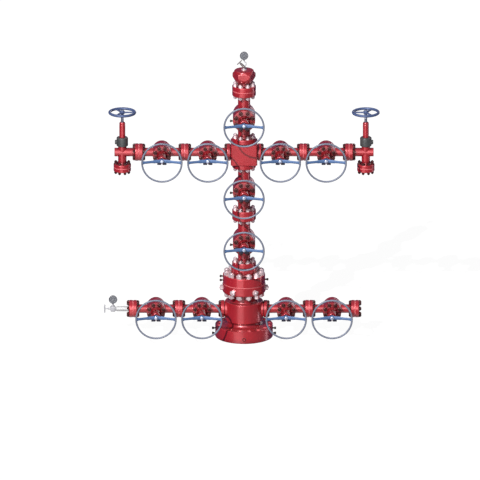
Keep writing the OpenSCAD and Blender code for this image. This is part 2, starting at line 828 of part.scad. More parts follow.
// Pipe nipple between the gauge flange and the needle valve
module casing_nipple() {
  inside = wing_flange_t - 8;
  color("gainsboro")
    mirror([1, 0, 0])
      translate([nipple_end_x - nipple_l - inside, 0, z_casing])
        along_x()
          difference() {
            union() {
              cylinder(d = nipple_d, h = nipple_l + inside - 12);
              translate([0, 0, nipple_l + inside - 12])
                cylinder(d1 = nipple_d, d2 = nipple_d * 0.62, h = 12);
            }
            translate([0, 0, -1])
              cylinder(d = nipple_d * 0.5, h = nipple_l + inside - 20);
          }
}

// Square of width w with its corners cut by c
module chamfered_square(w, c) {
  h = w / 2;
  polygon([[-h + c, -h], [h - c, -h], [h, -h + c], [h, h - c],
           [h - c, h], [-h + c, h], [-h, h - c], [-h, -h + c]]);
}

// Needle valve block with its bonnet, and a stub up to the gauge
module casing_needle_valve() {
  w = needle_block_w;
  c = 12;
  color("lightgray")
    mirror([1, 0, 0])
      translate([0, 0, z_casing])
        difference() {
          union() {
            translate([needle_x, w / 2 - 6, 0])
              rotate([90, 0, 0])
                linear_extrude(w - 12)
                  chamfered_square(w, c);
            translate([needle_bonnet_x - 1, 0, 0])
              along_x()
                cylinder(d = needle_bonnet_d, h = needle_bonnet_l + 1);
            translate([needle_x, 0, w / 2 - 1])
              cylinder(d = 18, h = gauge_rise - gauge_d / 2 - gauge_socket_h - w / 2 + 1);
          }
          translate([needle_bonnet_x - 20, 0, 0])
            along_x()
              cylinder(d = needle_stem_d + 2 * stem_clearance, h = needle_bonnet_l + 21);
        }
}

module casing_needle_handle() {
  color("gainsboro")
    mirror([1, 0, 0])
      translate([0, 0, z_casing])
        union() {
          translate([needle_bonnet_x - 18, 0, 0])
            along_x()
              cylinder(d = needle_stem_d, h = needle_bar_x - needle_bonnet_x + 18);
          translate([needle_bar_x, 0, -needle_bar_l / 2])
            cylinder(d = needle_bar_d, h = needle_bar_l);
        }
}

// Round gauge facing the front, centred on the origin, with its square socket below
module gauge_case() {
  r = gauge_d / 2;
  bezel_w = 6;
  dial_sink = 4;
  socket_w = 20;
  translate([-socket_w / 2, -socket_w / 2, -r - gauge_socket_h])
    cube([socket_w, socket_w, gauge_socket_h + 8]);
  rotate([90, 0, 0])
    translate([0, 0, -gauge_t / 2])
      rotate_extrude($fn = 96)
        polygon([[0, 0], [r - 10, 0], [r - 4, 6], [r - 4, gauge_t - 12], [r, gauge_t - 10],
                 [r, gauge_t - 2], [r - 2, gauge_t], [r - bezel_w, gauge_t],
                 [r - bezel_w - 1, gauge_t - dial_sink], [0, gauge_t - dial_sink]]);
}

module casing_gauge() {
  color("dimgray")
    translate([-needle_x, 0, z_casing + gauge_rise])
      gauge_case();
}

// Tree cap: flange and hub that carry the bonnet nut
module tree_cap_hub() {
  color("firebrick")
    translate([0, 0, z_cap])
      difference() {
        union() {
          flange_disc(main_flange_od, cap_flange_t, main_raised_face_d, flange_edge_r);
          flared_neck(cap_hub_d, cap_flange_t - eps, cap_flange_t + cap_hub_h, neck_fillet_r, 0.5);
        }
        translate([0, 0, -1])
          cylinder(d = main_bore_d, h = cap_flange_t + cap_hub_h + 2);
        hole_ring(stud_count, main_bolt_circle, main_bolt_hole_d, -1, cap_flange_t + 1);
      }
}

// Bonnet nut that closes the top of the tree
module tree_cap_nut() {
  r = cap_nut_d / 2;
  z_side = z_cap_nut + cap_nut_taper_h;
  z_cone = z_side + cap_nut_side_h;
  boss_h = 8;
  color("firebrick")
    difference() {
      union() {
        rotate_extrude()
          polygon([[0, z_cap_nut], [cap_nut_foot_d / 2 - 5, z_cap_nut], [cap_nut_foot_d / 2, z_cap_nut + 5],
                   [r - 4, z_side - 3], [r, z_side + 4], [r, z_cone - 6], [r - 5, z_cone],
                   [cap_nut_top_d / 2, z_cap_top], [0, z_cap_top]]);
        translate([0, 0, z_cap_top])
          cylinder(d1 = cap_boss_d, d2 = cap_boss_d - 6, h = boss_h);
      }
      translate([0, 0, z_cap_top - 16])
        cylinder(d = cap_block_d * 0.6, h = 16 + boss_h + 1, $fn = 32);
    }
}

// Small needle valve on the cap: riser, tilted bonnet and a bent pipe up to the gauge
module cap_needle_valve() {
  root = z_cap_top - 16;
  block_z = z_cap_top + cap_valve_rise;
  pipe_top = z_cap_top + cap_gauge_rise - gauge_d / 2 - gauge_socket_h;
  color("silver")
    difference() {
      union() {
        translate([0, 0, root])
          cylinder(d = cap_block_d * 0.6, h = block_z - root, $fn = 32);
        translate([0, 0, block_z])
          sphere(d = cap_block_d, $fn = 48);
        translate([0, 0, block_z])
          cylinder(d = cap_pipe_d, h = pipe_top - block_z);
        translate([0, 0, block_z])
          rotate([0, -cap_tilt, 0])
            cylinder(d = cap_block_d - 8, h = cap_block_d / 2 + cap_bonnet_l);
      }
      translate([0, 0, block_z])
        rotate([0, -cap_tilt, 0])
          translate([0, 0, 8])
            cylinder(d = cap_pipe_d + 2 * stem_clearance, h = cap_block_d + cap_bonnet_l);
    }
}

module cap_needle_handle() {
  block_z = z_cap_top + cap_valve_rise;
  stem_end = cap_block_d / 2 + cap_bonnet_l + cap_stem_l;
  color("silver")
    translate([0, 0, block_z])
      rotate([0, -cap_tilt, 0])
        union() {
          translate([0, 0, 10])
            cylinder(d = cap_pipe_d, h = stem_end - 10);
          translate([-cap_bar_l / 2, 0, stem_end])
            along_x()
              cylinder(d = cap_bar_d, h = cap_bar_l);
        }
}

module cap_gauge() {
  color("dimgray")
    translate([0, 0, z_cap_top + cap_gauge_rise])
      gauge_case();
}

// Lockdown screws around the tubing head's top flange, half a pitch off the front
module lockdown_places() {
  for (i = [0:lockdown_count - 1])
    rotate([0, 0, 90 + (i + 0.5) * 360 / lockdown_count])
      translate([0, 0, z_head_flange + tubing_flange_t * 0.46])
        along_x()
          children();
}

// Distance from the well axis to the flat seat of a lockdown gland
lockdown_gland_d = lockdown_gland_af / cos(30);
lockdown_seat = sqrt(pow(head_flange_od / 2, 2) - pow(lockdown_gland_d / 2 + 1, 2));

module spot_face_cut() {
  translate([0, 0, lockdown_seat])
    cylinder(d = lockdown_gland_d + 2, h = 30);
  translate([0, 0, lockdown_seat - socket_depth])
    cylinder(d = lockdown_screw_d, h = socket_depth + 1);
}

module lockdown_screws() {
  color("gainsboro")
    lockdown_places()
      translate([0, 0, lockdown_seat])
        union() {
          cylinder(d = lockdown_gland_d, h = lockdown_gland_h, $fn = 6);
          translate([0, 0, -socket_depth])
            cylinder(d = lockdown_screw_d, h = socket_depth + lockdown_gland_h + lockdown_screw_h);
        }
}

// Fitting along +Z from its seat at z = 0, with its shank in a socket below
module fitting() {
  head_l = 12;
  translate([0, 0, -socket_depth])
    cylinder(d = fitting_shank_d, h = socket_depth + fitting_l - head_l, $fn = 24);
  translate([0, 0, fitting_l - head_l])
    cylinder(d = fitting_head_d, h = head_l, $fn = 24);
}

module fitting_socket() {
  translate([0, 0, -socket_depth])
    cylinder(d = fitting_shank_d, h = socket_depth + 4, $fn = 24);
}

// Two test fittings on each side of the bottom flange
module base_fitting_places() {
  for (side = [0, 1])
    for (z = base_fitting_zs)
      mirror([side, 0, 0])
        translate([base_flange_od / 2 - 1, 0, z])
          along_x()
            children();
}

// Test port at the front of the bottom flange
module front_port_place() {
  translate([0, -base_flange_od / 2 + 2, front_port_z])
    rotate([90, 0, 0])
      children();
}

// Injection fittings on the adapter's flange: two to the left, one to the right
module adapter_fitting_places() {
  for (side = [0, 1])
    for (z = side == 1 ? adapter_left_zs : adapter_right_zs)
      mirror([side, 0, 0])
        translate([adapter_flange_od / 2 - 1, 0, z_head_top + z])
          along_x()
            children();
}

// Grease fitting on the left of a main run bonnet, just below its middle
module bonnet_fitting_place() {
  drop = 20;
  seat = sqrt(pow(main_barrel_d / 2, 2) - pow(drop + fitting_shank_d / 2, 2));
  translate([-seat, -main_bonnet_plane - main_bonnet_t / 2, -drop])
    mirror([1, 0, 0])
      along_x()
        children();
}

module grease_and_test_fittings() {
  plug_h = 7;
  color("darkslategray")
    union() {
      base_fitting_places()
        fitting();
      adapter_fitting_places()
        fitting();
      for (z = [z_lower_master, z_upper_master, z_swab])
        translate([0, 0, z])
          bonnet_fitting_place()
            fitting();
      front_port_place()
        union() {
          translate([0, 0, -socket_depth])
            cylinder(d = fitting_shank_d, h = socket_depth + 1, $fn = 24);
          cylinder(d = fitting_head_d, h = plug_h, $fn = 24);
        }
    }
}

tubing_head();
tubing_head_adapter();
flow_cross();
main_valve_body(z_lower_master);  // lower_master_body
main_valve_bonnet(z_lower_master);  // lower_master_bonnet
main_valve_handwheel(z_lower_master);  // lower_master_handwheel
main_valve_body(z_upper_master);  // upper_master_body
main_valve_bonnet(z_upper_master);  // upper_master_bonnet
main_valve_handwheel(z_upper_master);  // upper_master_handwheel
main_valve_body(z_swab);  // swab_body
main_valve_bonnet(z_swab);  // swab_bonnet
main_valve_handwheel(z_swab);  // swab_handwheel
for (i = [0:3]) {
  side_valve_body(wing_xs[i], z_cross);
  side_valve_handwheel(wing_xs[i], z_cross);
  side_valve_body(casing_xs[i], z_casing);
  side_valve_handwheel(casing_xs[i], z_casing);
}
side_valve_bonnets(wing_xs, z_cross);  // wing_bonnets
side_valve_bonnets(casing_xs, z_casing);  // casing_bonnets
choke_body(1);  // left_choke_body
choke_body(0);  // right_choke_body
choke_collars();
choke_stem_housings();
choke_handwheel(1);  // left_choke_handwheel
choke_handwheel(0);  // right_choke_handwheel
choke_outlet_flanges();
casing_gauge_flange();
casing_companion_flange();
casing_nipple();
casing_needle_valve();
casing_needle_handle();
casing_gauge();
tree_cap_hub();
tree_cap_nut();
cap_needle_valve();
cap_needle_handle();
cap_gauge();
lockdown_screws();
grease_and_test_fittings();
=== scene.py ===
"""Looks of a flanged surface production tree on its tubing head.

Lengths are in metres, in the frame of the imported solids: +Z runs up the well axis and -Y faces the
handwheels. The solids give every place. What is added here is the bolting, the turned bonnets, the
handwheels, the chokes' collars and stems, the gauges, the needle valves and the small fittings, with a
finish on each surface.
"""

from __future__ import annotations

import logging
import math
from dataclasses import dataclass, replace
from enum import Enum
from typing import Sequence

import bmesh
import bpy
from mathutils import Matrix, Vector
from mathutils.geometry import interpolate_bezier


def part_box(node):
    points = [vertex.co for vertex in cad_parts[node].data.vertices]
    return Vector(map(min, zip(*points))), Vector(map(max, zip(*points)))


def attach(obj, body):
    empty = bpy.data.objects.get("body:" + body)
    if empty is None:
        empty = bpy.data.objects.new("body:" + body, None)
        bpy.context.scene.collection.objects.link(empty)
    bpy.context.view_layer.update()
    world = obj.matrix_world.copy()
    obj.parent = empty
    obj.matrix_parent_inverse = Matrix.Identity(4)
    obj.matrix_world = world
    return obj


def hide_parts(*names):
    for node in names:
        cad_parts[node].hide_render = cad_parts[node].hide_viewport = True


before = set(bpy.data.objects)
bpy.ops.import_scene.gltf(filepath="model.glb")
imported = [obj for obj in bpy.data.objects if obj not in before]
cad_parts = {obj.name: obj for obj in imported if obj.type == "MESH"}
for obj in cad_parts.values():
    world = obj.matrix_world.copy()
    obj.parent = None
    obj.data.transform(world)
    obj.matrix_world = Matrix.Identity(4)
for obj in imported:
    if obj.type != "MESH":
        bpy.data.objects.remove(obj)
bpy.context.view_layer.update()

log = logging.getLogger("production_tree")

Triple = tuple[float, float, float]
Colour = Triple
Corner = tuple[float, ...]

UPWARDS = Matrix.Identity(4)
DOWNWARDS = Matrix.Rotation(math.pi, 4, "X")
FORWARDS = Matrix.Rotation(math.pi / 2, 4, "X")
TO_RIGHT = Matrix.Rotation(math.pi / 2, 4, "Y")
TO_LEFT = Matrix.Rotation(-math.pi / 2, 4, "Y")
COS_30 = math.cos(math.radians(30))
WHITE = (1.0, 1.0, 1.0, 1.0)
SKYLIGHT = (0.95, 0.95, 1.0, 1.0)
TREE = "tree"
MAIN_VALVES = ("lower_master", "upper_master", "swab")
ARM_VALVES = ("left_outer", "left_inner", "right_inner", "right_outer")


class Arm(Enum):
    """The two pairs of side arms."""

    WING = "wing"
    CASING = "casing"


class Side(Enum):
    """The two sides of the tree, seen from the front."""

    LEFT = "left"
    RIGHT = "right"

    @property
    def sign(self) -> int:
        """The sign of X on this side."""
        return 1 if self is Side.RIGHT else -1

    @property
    def outwards(self) -> Matrix:
        """The turn that takes +Z away from the well."""
        return TO_RIGHT if self is Side.RIGHT else TO_LEFT

    @property
    def facing(self) -> Matrix:
        """The turn about Z that takes +X away from the well."""
        return spun(0.0 if self is Side.RIGHT else math.pi)


class Operation(Enum):
    """What a Math node does."""

    ADD = "ADD"
    SUBTRACT = "SUBTRACT"
    MULTIPLY = "MULTIPLY"
    MAXIMUM = "MAXIMUM"


CAST_NODES = (
    "tubing_head", "flow_cross", *(f"{side.value}_choke_body" for side in Side),
    *(f"{valve}_body" for valve in MAIN_VALVES),
    *(f"{arm.value}_{valve}_body" for arm in Arm for valve in ARM_VALVES),
)
MACHINED_NODES = (
    "tubing_head_adapter", "choke_outlet_flanges", "casing_gauge_flange", "casing_companion_flange",
    "tree_cap_hub",
)


def linear(red: int, green: int, blue: int) -> Colour:
    """Turns a screen colour, its parts from 0 to 255, into the linear one that shaders take."""
    shares = (value / 255 for value in (red, green, blue))
    return tuple(s / 12.92 if s <= 0.04045 else ((s + 0.055) / 1.055) ** 2.4 for s in shares)


def shaded(colour: Colour, factor: float) -> Colour:
    """The colour made lighter or darker by a factor, kept under 1."""
    return tuple(min(1.0, value * factor) for value in colour)


def at(x: float, y: float, z: float, turn: Matrix = UPWARDS) -> Matrix:
    """The place (x, y, z), with a turn about it."""
    return Matrix.Translation((x, y, z)) @ turn


def spun(angle: float) -> Matrix:
    """A turn about Z."""
    return Matrix.Rotation(angle, 4, "Z")


def around(count: int, start: float = 0.0) -> list[Matrix]:
    """Turns about Z in a number of equal steps, the first of them by the start angle."""
    return [spun(start + i * math.tau / count) for i in range(count)]


def oval(across: float, along: float) -> Matrix:
    """Stretches the unit circle to an oval with these half axes along X and Y."""
    return Matrix.Diagonal((across, along, 1.0, 1.0))


def centre(node: str) -> Vector:
    """The middle of a solid's box."""
    low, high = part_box(node)
    return (low + high) / 2


def placed(name: str, data: bpy.types.ID) -> bpy.types.Object:
    """Puts new data into the scene.

    Args:
        name: Name of the object.
        data: Its mesh, camera or lamp.

    Returns:
        The object.
    """
    made = bpy.data.objects.new(name, data)
    bpy.context.scene.collection.objects.link(made)
    return made


class Wire:
    """One output of a node tree, usable in plain arithmetic."""

    def __init__(self, bench: Bench, socket: bpy.types.NodeSocket) -> None:
        """Keeps the output and the bench that it belongs to."""
        self.bench = bench
        self.socket = socket

    def __add__(self, other: Wire | float) -> Wire:
        """Sum."""
        return self.bench.math(Operation.ADD, self, other)

    def __radd__(self, other: float) -> Wire:
        """Sum with a number on the left."""
        return self.bench.math(Operation.ADD, other, self)

    def __rsub__(self, other: float) -> Wire:
        """Difference from a number."""
        return self.bench.math(Operation.SUBTRACT, other, self)

    def __mul__(self, other: Wire | float) -> Wire:
        """Product."""
        return self.bench.math(Operation.MULTIPLY, self, other)

    def __rmul__(self, other: float) -> Wire:
        """Product with a number on the left."""
        return self.bench.math(Operation.MULTIPLY, other, self)

    def above(self, low: float, high: float) -> Wire:
        """Rises smoothly from 0 at the low value to 1 at the high one."""
        inputs = {"Value": self, "From Min": low, "From Max": high}
        return self.bench.node("ShaderNodeMapRange", {"interpolation_type": "SMOOTHSTEP"}, inputs)


class Bench:
    """Adds nodes to the tree of one material or of the world."""

    def __init__(self, tree: bpy.types.NodeTree) -> None:
        """Starts on the tree and empties it."""
        self.tree = tree
        tree.nodes.clear()

    def node(
        self, kind: str, settings: dict[str, object] | None = None,
        inputs: dict[str | int, object] | None = None, output: str | int = 0,
    ) -> Wire:
        """Adds one node.

        Args:
            kind: Blender's type name of the node.
            settings: Properties that are set first, such as an operation.
            inputs: Values or wires by the input's name, number or identifier.
            output: Identifier, name or number of the wanted output.

        Returns:
            That output.
        """
        made = self.tree.nodes.new(kind)
        for name, value in (settings or {}).items():
            setattr(made, name, value)
        by_identifier = {socket.identifier: socket for socket in made.inputs}
        for key, value in (inputs or {}).items():
            socket = by_identifier[key] if key in by_identifier else made.inputs[key]
            if isinstance(value, Wire):
                self.tree.links.new(value.socket, socket)
            else:
                socket.default_value = value
        found = [socket for socket in made.outputs if socket.identifier == output]
        return Wire(self, found[0] if found else made.outputs[output])

    def math(self, operation: Operation, *values: Wire | float) -> Wire:
        """Adds a Math node that takes the values in order."""
        return self.node("ShaderNodeMath", {"operation": operation.value}, dict(enumerate(values)))

    def end(self, surface: Wire, kind: str = "ShaderNodeOutputMaterial") -> None:
        """Adds the output node, which takes the shader."""
        made = self.tree.nodes.new(kind)
        self.tree.links.new(surface.socket, made.inputs["Surface"])

    def noise(self, size: float, detail: float = 2.0, stretch: Triple = (1.0, 1.0, 1.0)) -> Wire:
        """Cloudy noise on Object coordinates.

        Args:
            size: Width of its largest clouds.
            detail: Octaves of finer clouds.
            stretch: How much finer it is along each axis.

        Returns:
            The noise, around a half.
        """
        place = self.node("ShaderNodeTexCoord", output="Object")
        scaled = self.node("ShaderNodeMapping", inputs={"Vector": place, "Scale": stretch})
        inputs = {"Vector": scaled, "Scale": 1.0 / size, "Detail": detail}
        return self.node("ShaderNodeTexNoise", inputs=inputs)

    def blend(self, share: Wire, first: Colour | Wire, second: Colour | Wire) -> Wire:
        """Mixes two colours.

        Args:
            share: 0 for the first colour, 1 for the second.
            first: A colour or a wire.
            second: A colour or a wire.

        Returns:
            The mixed colour.
        """
        low, high = (value if isinstance(value, Wire) else (*value, 1.0) for value in (first, second))
        inputs = {"Factor_Float": share, "A_Color": low, "B_Color": high}
        return self.node("ShaderNodeMix", {"data_type": "RGBA"}, inputs, "Result_Color")


def painted(name: str) -> tuple[bpy.types.Material, Bench]:
    """Starts a material.

    Args:
        name: Its name.

    Returns:
        The material, and the bench of its emptied tree.
    """
    made = bpy.data.materials.new(name)
    made.use_nodes = True
    return made, Bench(made.node_tree)


@dataclass(frozen=True)
class Finish:
    """A surface finish, and the record's material slot that it stands for."""

    name: str
    slot: str
    colour: Colour
    roughness: float
    metallic: float = 0.0
    coat: float = 0.0
    coat_rough: float = 0.25
    alpha: float = 1.0
    mottle: float = 0.05
    mottle_size: float = 0.03
    relief: float = 0.00001
    relief_size: float = 0.002
    cloud_edges: tuple[float, float] = (0.3, 0.7)
    gloss_low: float = 0.83
    gloss_span: float = 0.34

    def tone(self, bench: Bench) -> Wire:
        """Base colour, in broad clouds a little lighter and darker than the finish's own."""
        clouds = bench.noise(self.mottle_size).above(*self.cloud_edges)
        return bench.blend(clouds, shaded(self.colour, 1 - self.mottle), shaded(self.colour, 1 + self.mottle))

    def gloss(self, bench: Bench) -> Wire:
        """Roughness, which wanders by a sixth."""
        return self.roughness * (self.gloss_low + self.gloss_span * bench.noise(self.mottle_size / 4, 3.0))

    def height(self, bench: Bench) -> Wire:
        """Fine relief."""
        return self.relief * bench.noise(self.relief_size)

    def material(self) -> bpy.types.Material:
        """Makes the Blender material, or finds it if it is there already.

        Returns:
            The material.
        """
        made = bpy.data.materials.get(self.name)
        if made:
            return made
        made, bench = painted(self.name)
        made.diffuse_color = (*self.colour, 1.0)
        inputs = {
            "Base Color": self.tone(bench),
            "Roughness": self.gloss(bench),
            "Metallic": self.metallic,
            "Coat Weight": self.coat,
            "Coat Roughness": self.coat_rough,
            "Alpha": self.alpha,
        }
        if self.relief:
            bump = {"Height": self.height(bench), "Distance": 1.0}
            inputs["Normal"] = bench.node("ShaderNodeBump", inputs=bump)
        bench.end(bench.node("ShaderNodeBsdfPrincipled", inputs=inputs))
        return made


@dataclass(frozen=True)
class Enamel(Finish):
    """Sprayed enamel: orange peel over the skin of a casting, a film of dust on what faces up, and painted
    shade in its crevices.
    """

    relief_size: float = 0.003
    level_edges: tuple[float, float] = (0.35, 1.0)
    dust: float = 0.05
    dust_size: float = 0.06
    dust_edges: tuple[float, float] = (0.35, 0.75)
    dust_colour: Colour = linear(206, 188, 178)
    # Painted shade in crevices and between parts: its strength, colour, the reach and rays of the occlusion
    # test, and the edges of its mask.
    crevice_shade: float = 0.85
    crevice_shade_colour: Colour = linear(62, 14, 24)
    crevice_shade_reach: float = 0.1
    crevice_shade_rays: int = 6
    unshaded_edges: tuple[float, float] = (0.25, 0.82)
    skin: float = 0.00004
    skin_size: float = 0.022

    def tone(self, bench: Bench) -> Wire:
        """Base colour with dust on the upper faces, and painted shade: darker towards the crevice shade
        colour in crevices and between parts, found by ambient occlusion.

        Args:
            bench: The material's bench.

        Returns:
            The colour.
        """
        normal = bench.node("ShaderNodeNewGeometry", output="Normal")
        upness = bench.node("ShaderNodeSeparateXYZ", inputs={"Vector": normal}, output="Z")
        clouds = bench.noise(self.dust_size, 4.0).above(*self.dust_edges)
        film = upness.above(*self.level_edges) * clouds * self.dust
        dusty = bench.blend(film, super().tone(bench), self.dust_colour)
        if not self.crevice_shade:
            return dusty
        # Painted shade: ambient occlusion darkens the colour in crevices and between parts.
        settings, reach = {"samples": self.crevice_shade_rays}, {"Distance": self.crevice_shade_reach}
        unshaded = bench.node("ShaderNodeAmbientOcclusion", settings, reach, "AO").above(*self.unshaded_edges)
        return bench.blend(self.crevice_shade * (1 - unshaded), dusty, self.crevice_shade_colour)

    def height(self, bench: Bench) -> Wire:
        """Orange peel on top of the casting's skin."""
        return super().height(bench) + self.skin * bench.noise(self.skin_size, 3.0)


@dataclass(frozen=True)
class Turned(Finish):
    """Metal with the fine marks of turning and wrench wear, finer along Z than across it."""

    marks: float = 0.00003
    marks_size: float = 0.004
    marks_stretch: Triple = (0.3, 0.3, 4.0)

    def height(self, bench: Bench) -> Wire:
        """Fine marks over the relief."""
        return super().height(bench) + self.marks * bench.noise(self.marks_size, 2.0, self.marks_stretch)


RED_CASTING = Enamel(
    "red_enamel_on_castings", "red_paint", linear(164, 31, 40), 0.3, metallic=0.32, coat=0.9, mottle=0.07,
    mottle_size=0.12, relief_size=0.0035,
)
RED_MACHINED = replace(
    RED_CASTING, name="red_enamel_on_machined_faces", colour=linear(172, 33, 43), roughness=0.26, coat=1.0,
    coat_rough=0.1, mottle=0.04, relief_size=0.004, skin=0.00001, skin_size=0.05,
)
# Painted shade: a darker copy of the red enamel, with stronger crevice shade, for the bonnets in the shade of
# their handwheels.
SHADED_RED_BONNET = replace(
    RED_CASTING, name="red_enamel_darkened_as_painted_shade", colour=linear(148, 26, 34), metallic=0.3, coat=0.6,
    mottle=0.1, crevice_shade=0.9, crevice_shade_colour=linear(40, 10, 18),
)
BLUE_WHEEL = Enamel(
    "blue_enamel_on_handwheels", "blue_paint", linear(70, 97, 138), 0.55, metallic=0.1, mottle=0.08,
    mottle_size=0.08, dust=0.04, skin_size=0.015, crevice_shade_colour=linear(24, 30, 58),
)
# Painted sheen: a paler, greyer copy of the wheel blue for the thin rims, standing in for the white sheen on
# them.
PALE_RIM_BLUE = replace(
    BLUE_WHEEL, name="blue_enamel_paled_as_painted_sheen", colour=linear(104, 110, 126), roughness=0.5,
    mottle_size=0.05, crevice_shade=0.0,
)
DEEP_BLUE = replace(
    BLUE_WHEEL, name="deep_blue_enamel_on_choke_wheels", colour=linear(66, 82, 120), roughness=0.5,
    crevice_shade_colour=linear(20, 24, 52),
)
# Painted shade: a near-black blue for the lugs under the wheel hubs, which stand in for the shade there.
LUG_SHADE_PAINT = Enamel(
    "dark_enamel_as_painted_shade_under_hubs", "dark_steel", linear(28, 28, 46), 0.45, metallic=0.1, coat=0.1, mottle=0.1,
    skin_size=0.01, crevice_shade_colour=linear(14, 14, 26),
)
GREY_IRON = Enamel(
    "grey_enamel_on_collars", "grey_iron", linear(60, 62, 62), 0.42, mottle=0.12, mottle_size=0.05,
    relief=0.00004, dust=0.08, skin=0.0001, skin_size=0.01, crevice_shade_colour=linear(22, 22, 24),
)
GAUGE_CASE = Enamel(
    "grey_enamel_on_gauge_cases", "gauge_grey", linear(92, 92, 98), 0.34, coat=0.3, mottle=0.06,
    relief_size=0.002, dust=0.03, skin=0.00002, crevice_shade=0.0,
)
BRIGHT_STEEL = Turned("turned_bright_steel", "bright_steel", linear(182, 192, 212), 0.28, metallic=0.7)
DULL_STEEL = Turned("dull_steel_stems", "bright_steel", linear(120, 128, 146), 0.4, metallic=0.4)
# Painted reflection: a pale, pink-tinted copy of the nut steel for the run's nuts, the lockdown glands and
# the cap's boss; its paleness and pink tint stand in for the bright surroundings and red paint that they
# reflect.
PALE_REFLECTING_NUT = Turned(
    "nut_steel_paled_as_painted_reflection", "plated_nut", linear(226, 208, 210), 0.28, metallic=0.6, relief=0.00002,
    relief_size=0.003,
)
# Painted reflection: a dark, reddish copy of the nut steel for the arms', chokes' and bonnets' nuts; its
# darkness and red tint stand in for the surroundings these nuts reflect.
DARK_REFLECTING_NUT = Turned(
    "nut_steel_darkened_as_painted_reflection", "black_nut", linear(72, 34, 32), 0.34, metallic=0.5, mottle=0.2,
    relief=0.00003, relief_size=0.003,
)
DARK_STEEL = Turned(
    "black_oxide_fittings", "dark_steel", linear(52, 42, 40), 0.36, metallic=0.6, mottle=0.15,
    mottle_size=0.02, relief=0.00002,
)
WHITE_PIPE = Turned(
    "zinc_plated_pipe", "bright_steel", linear(180, 180, 180), 0.45, metallic=0.1, relief=0.00002,
)
PALE_ALLOY = Turned(
    "machined_pale_alloy", "bright_steel", linear(164, 164, 168), 0.5, metallic=0.1, mottle=0.06,
    mottle_size=0.02, relief=0.00002,
)
NEEDLE_GREY = Turned(
    "dull_grey_needle_valve", "dark_steel", linear(112, 106, 106), 0.4, metallic=0.4, mottle=0.08,
    mottle_size=0.02, relief=0.00002,
)
# Painted highlight: a pale red for the joint bands and the base's hole walls, standing in for light caught on
# flange and hole edges.
PALE_HIGHLIGHT_PAINT = Turned("pale_red_as_painted_highlight", "red_paint", linear(216, 108, 112), 0.4, metallic=0.2)
DIAL_FACE = Finish("charcoal_dial_card", "dial", linear(62, 62, 70), 0.6, mottle_size=0.02, relief_size=0.001)
DIAL_INK = Finish(
    "pale_dial_ink", "dial", linear(150, 150, 156), 0.6, mottle=0.04, mottle_size=0.01, relief_size=0.001,
)
GAUGE_GLASS = Finish(
    "gauge_window", "gauge_glass", linear(220, 226, 232), 0.08, alpha=0.06, mottle=0.02, mottle_size=0.05,
    relief=0.0,
)


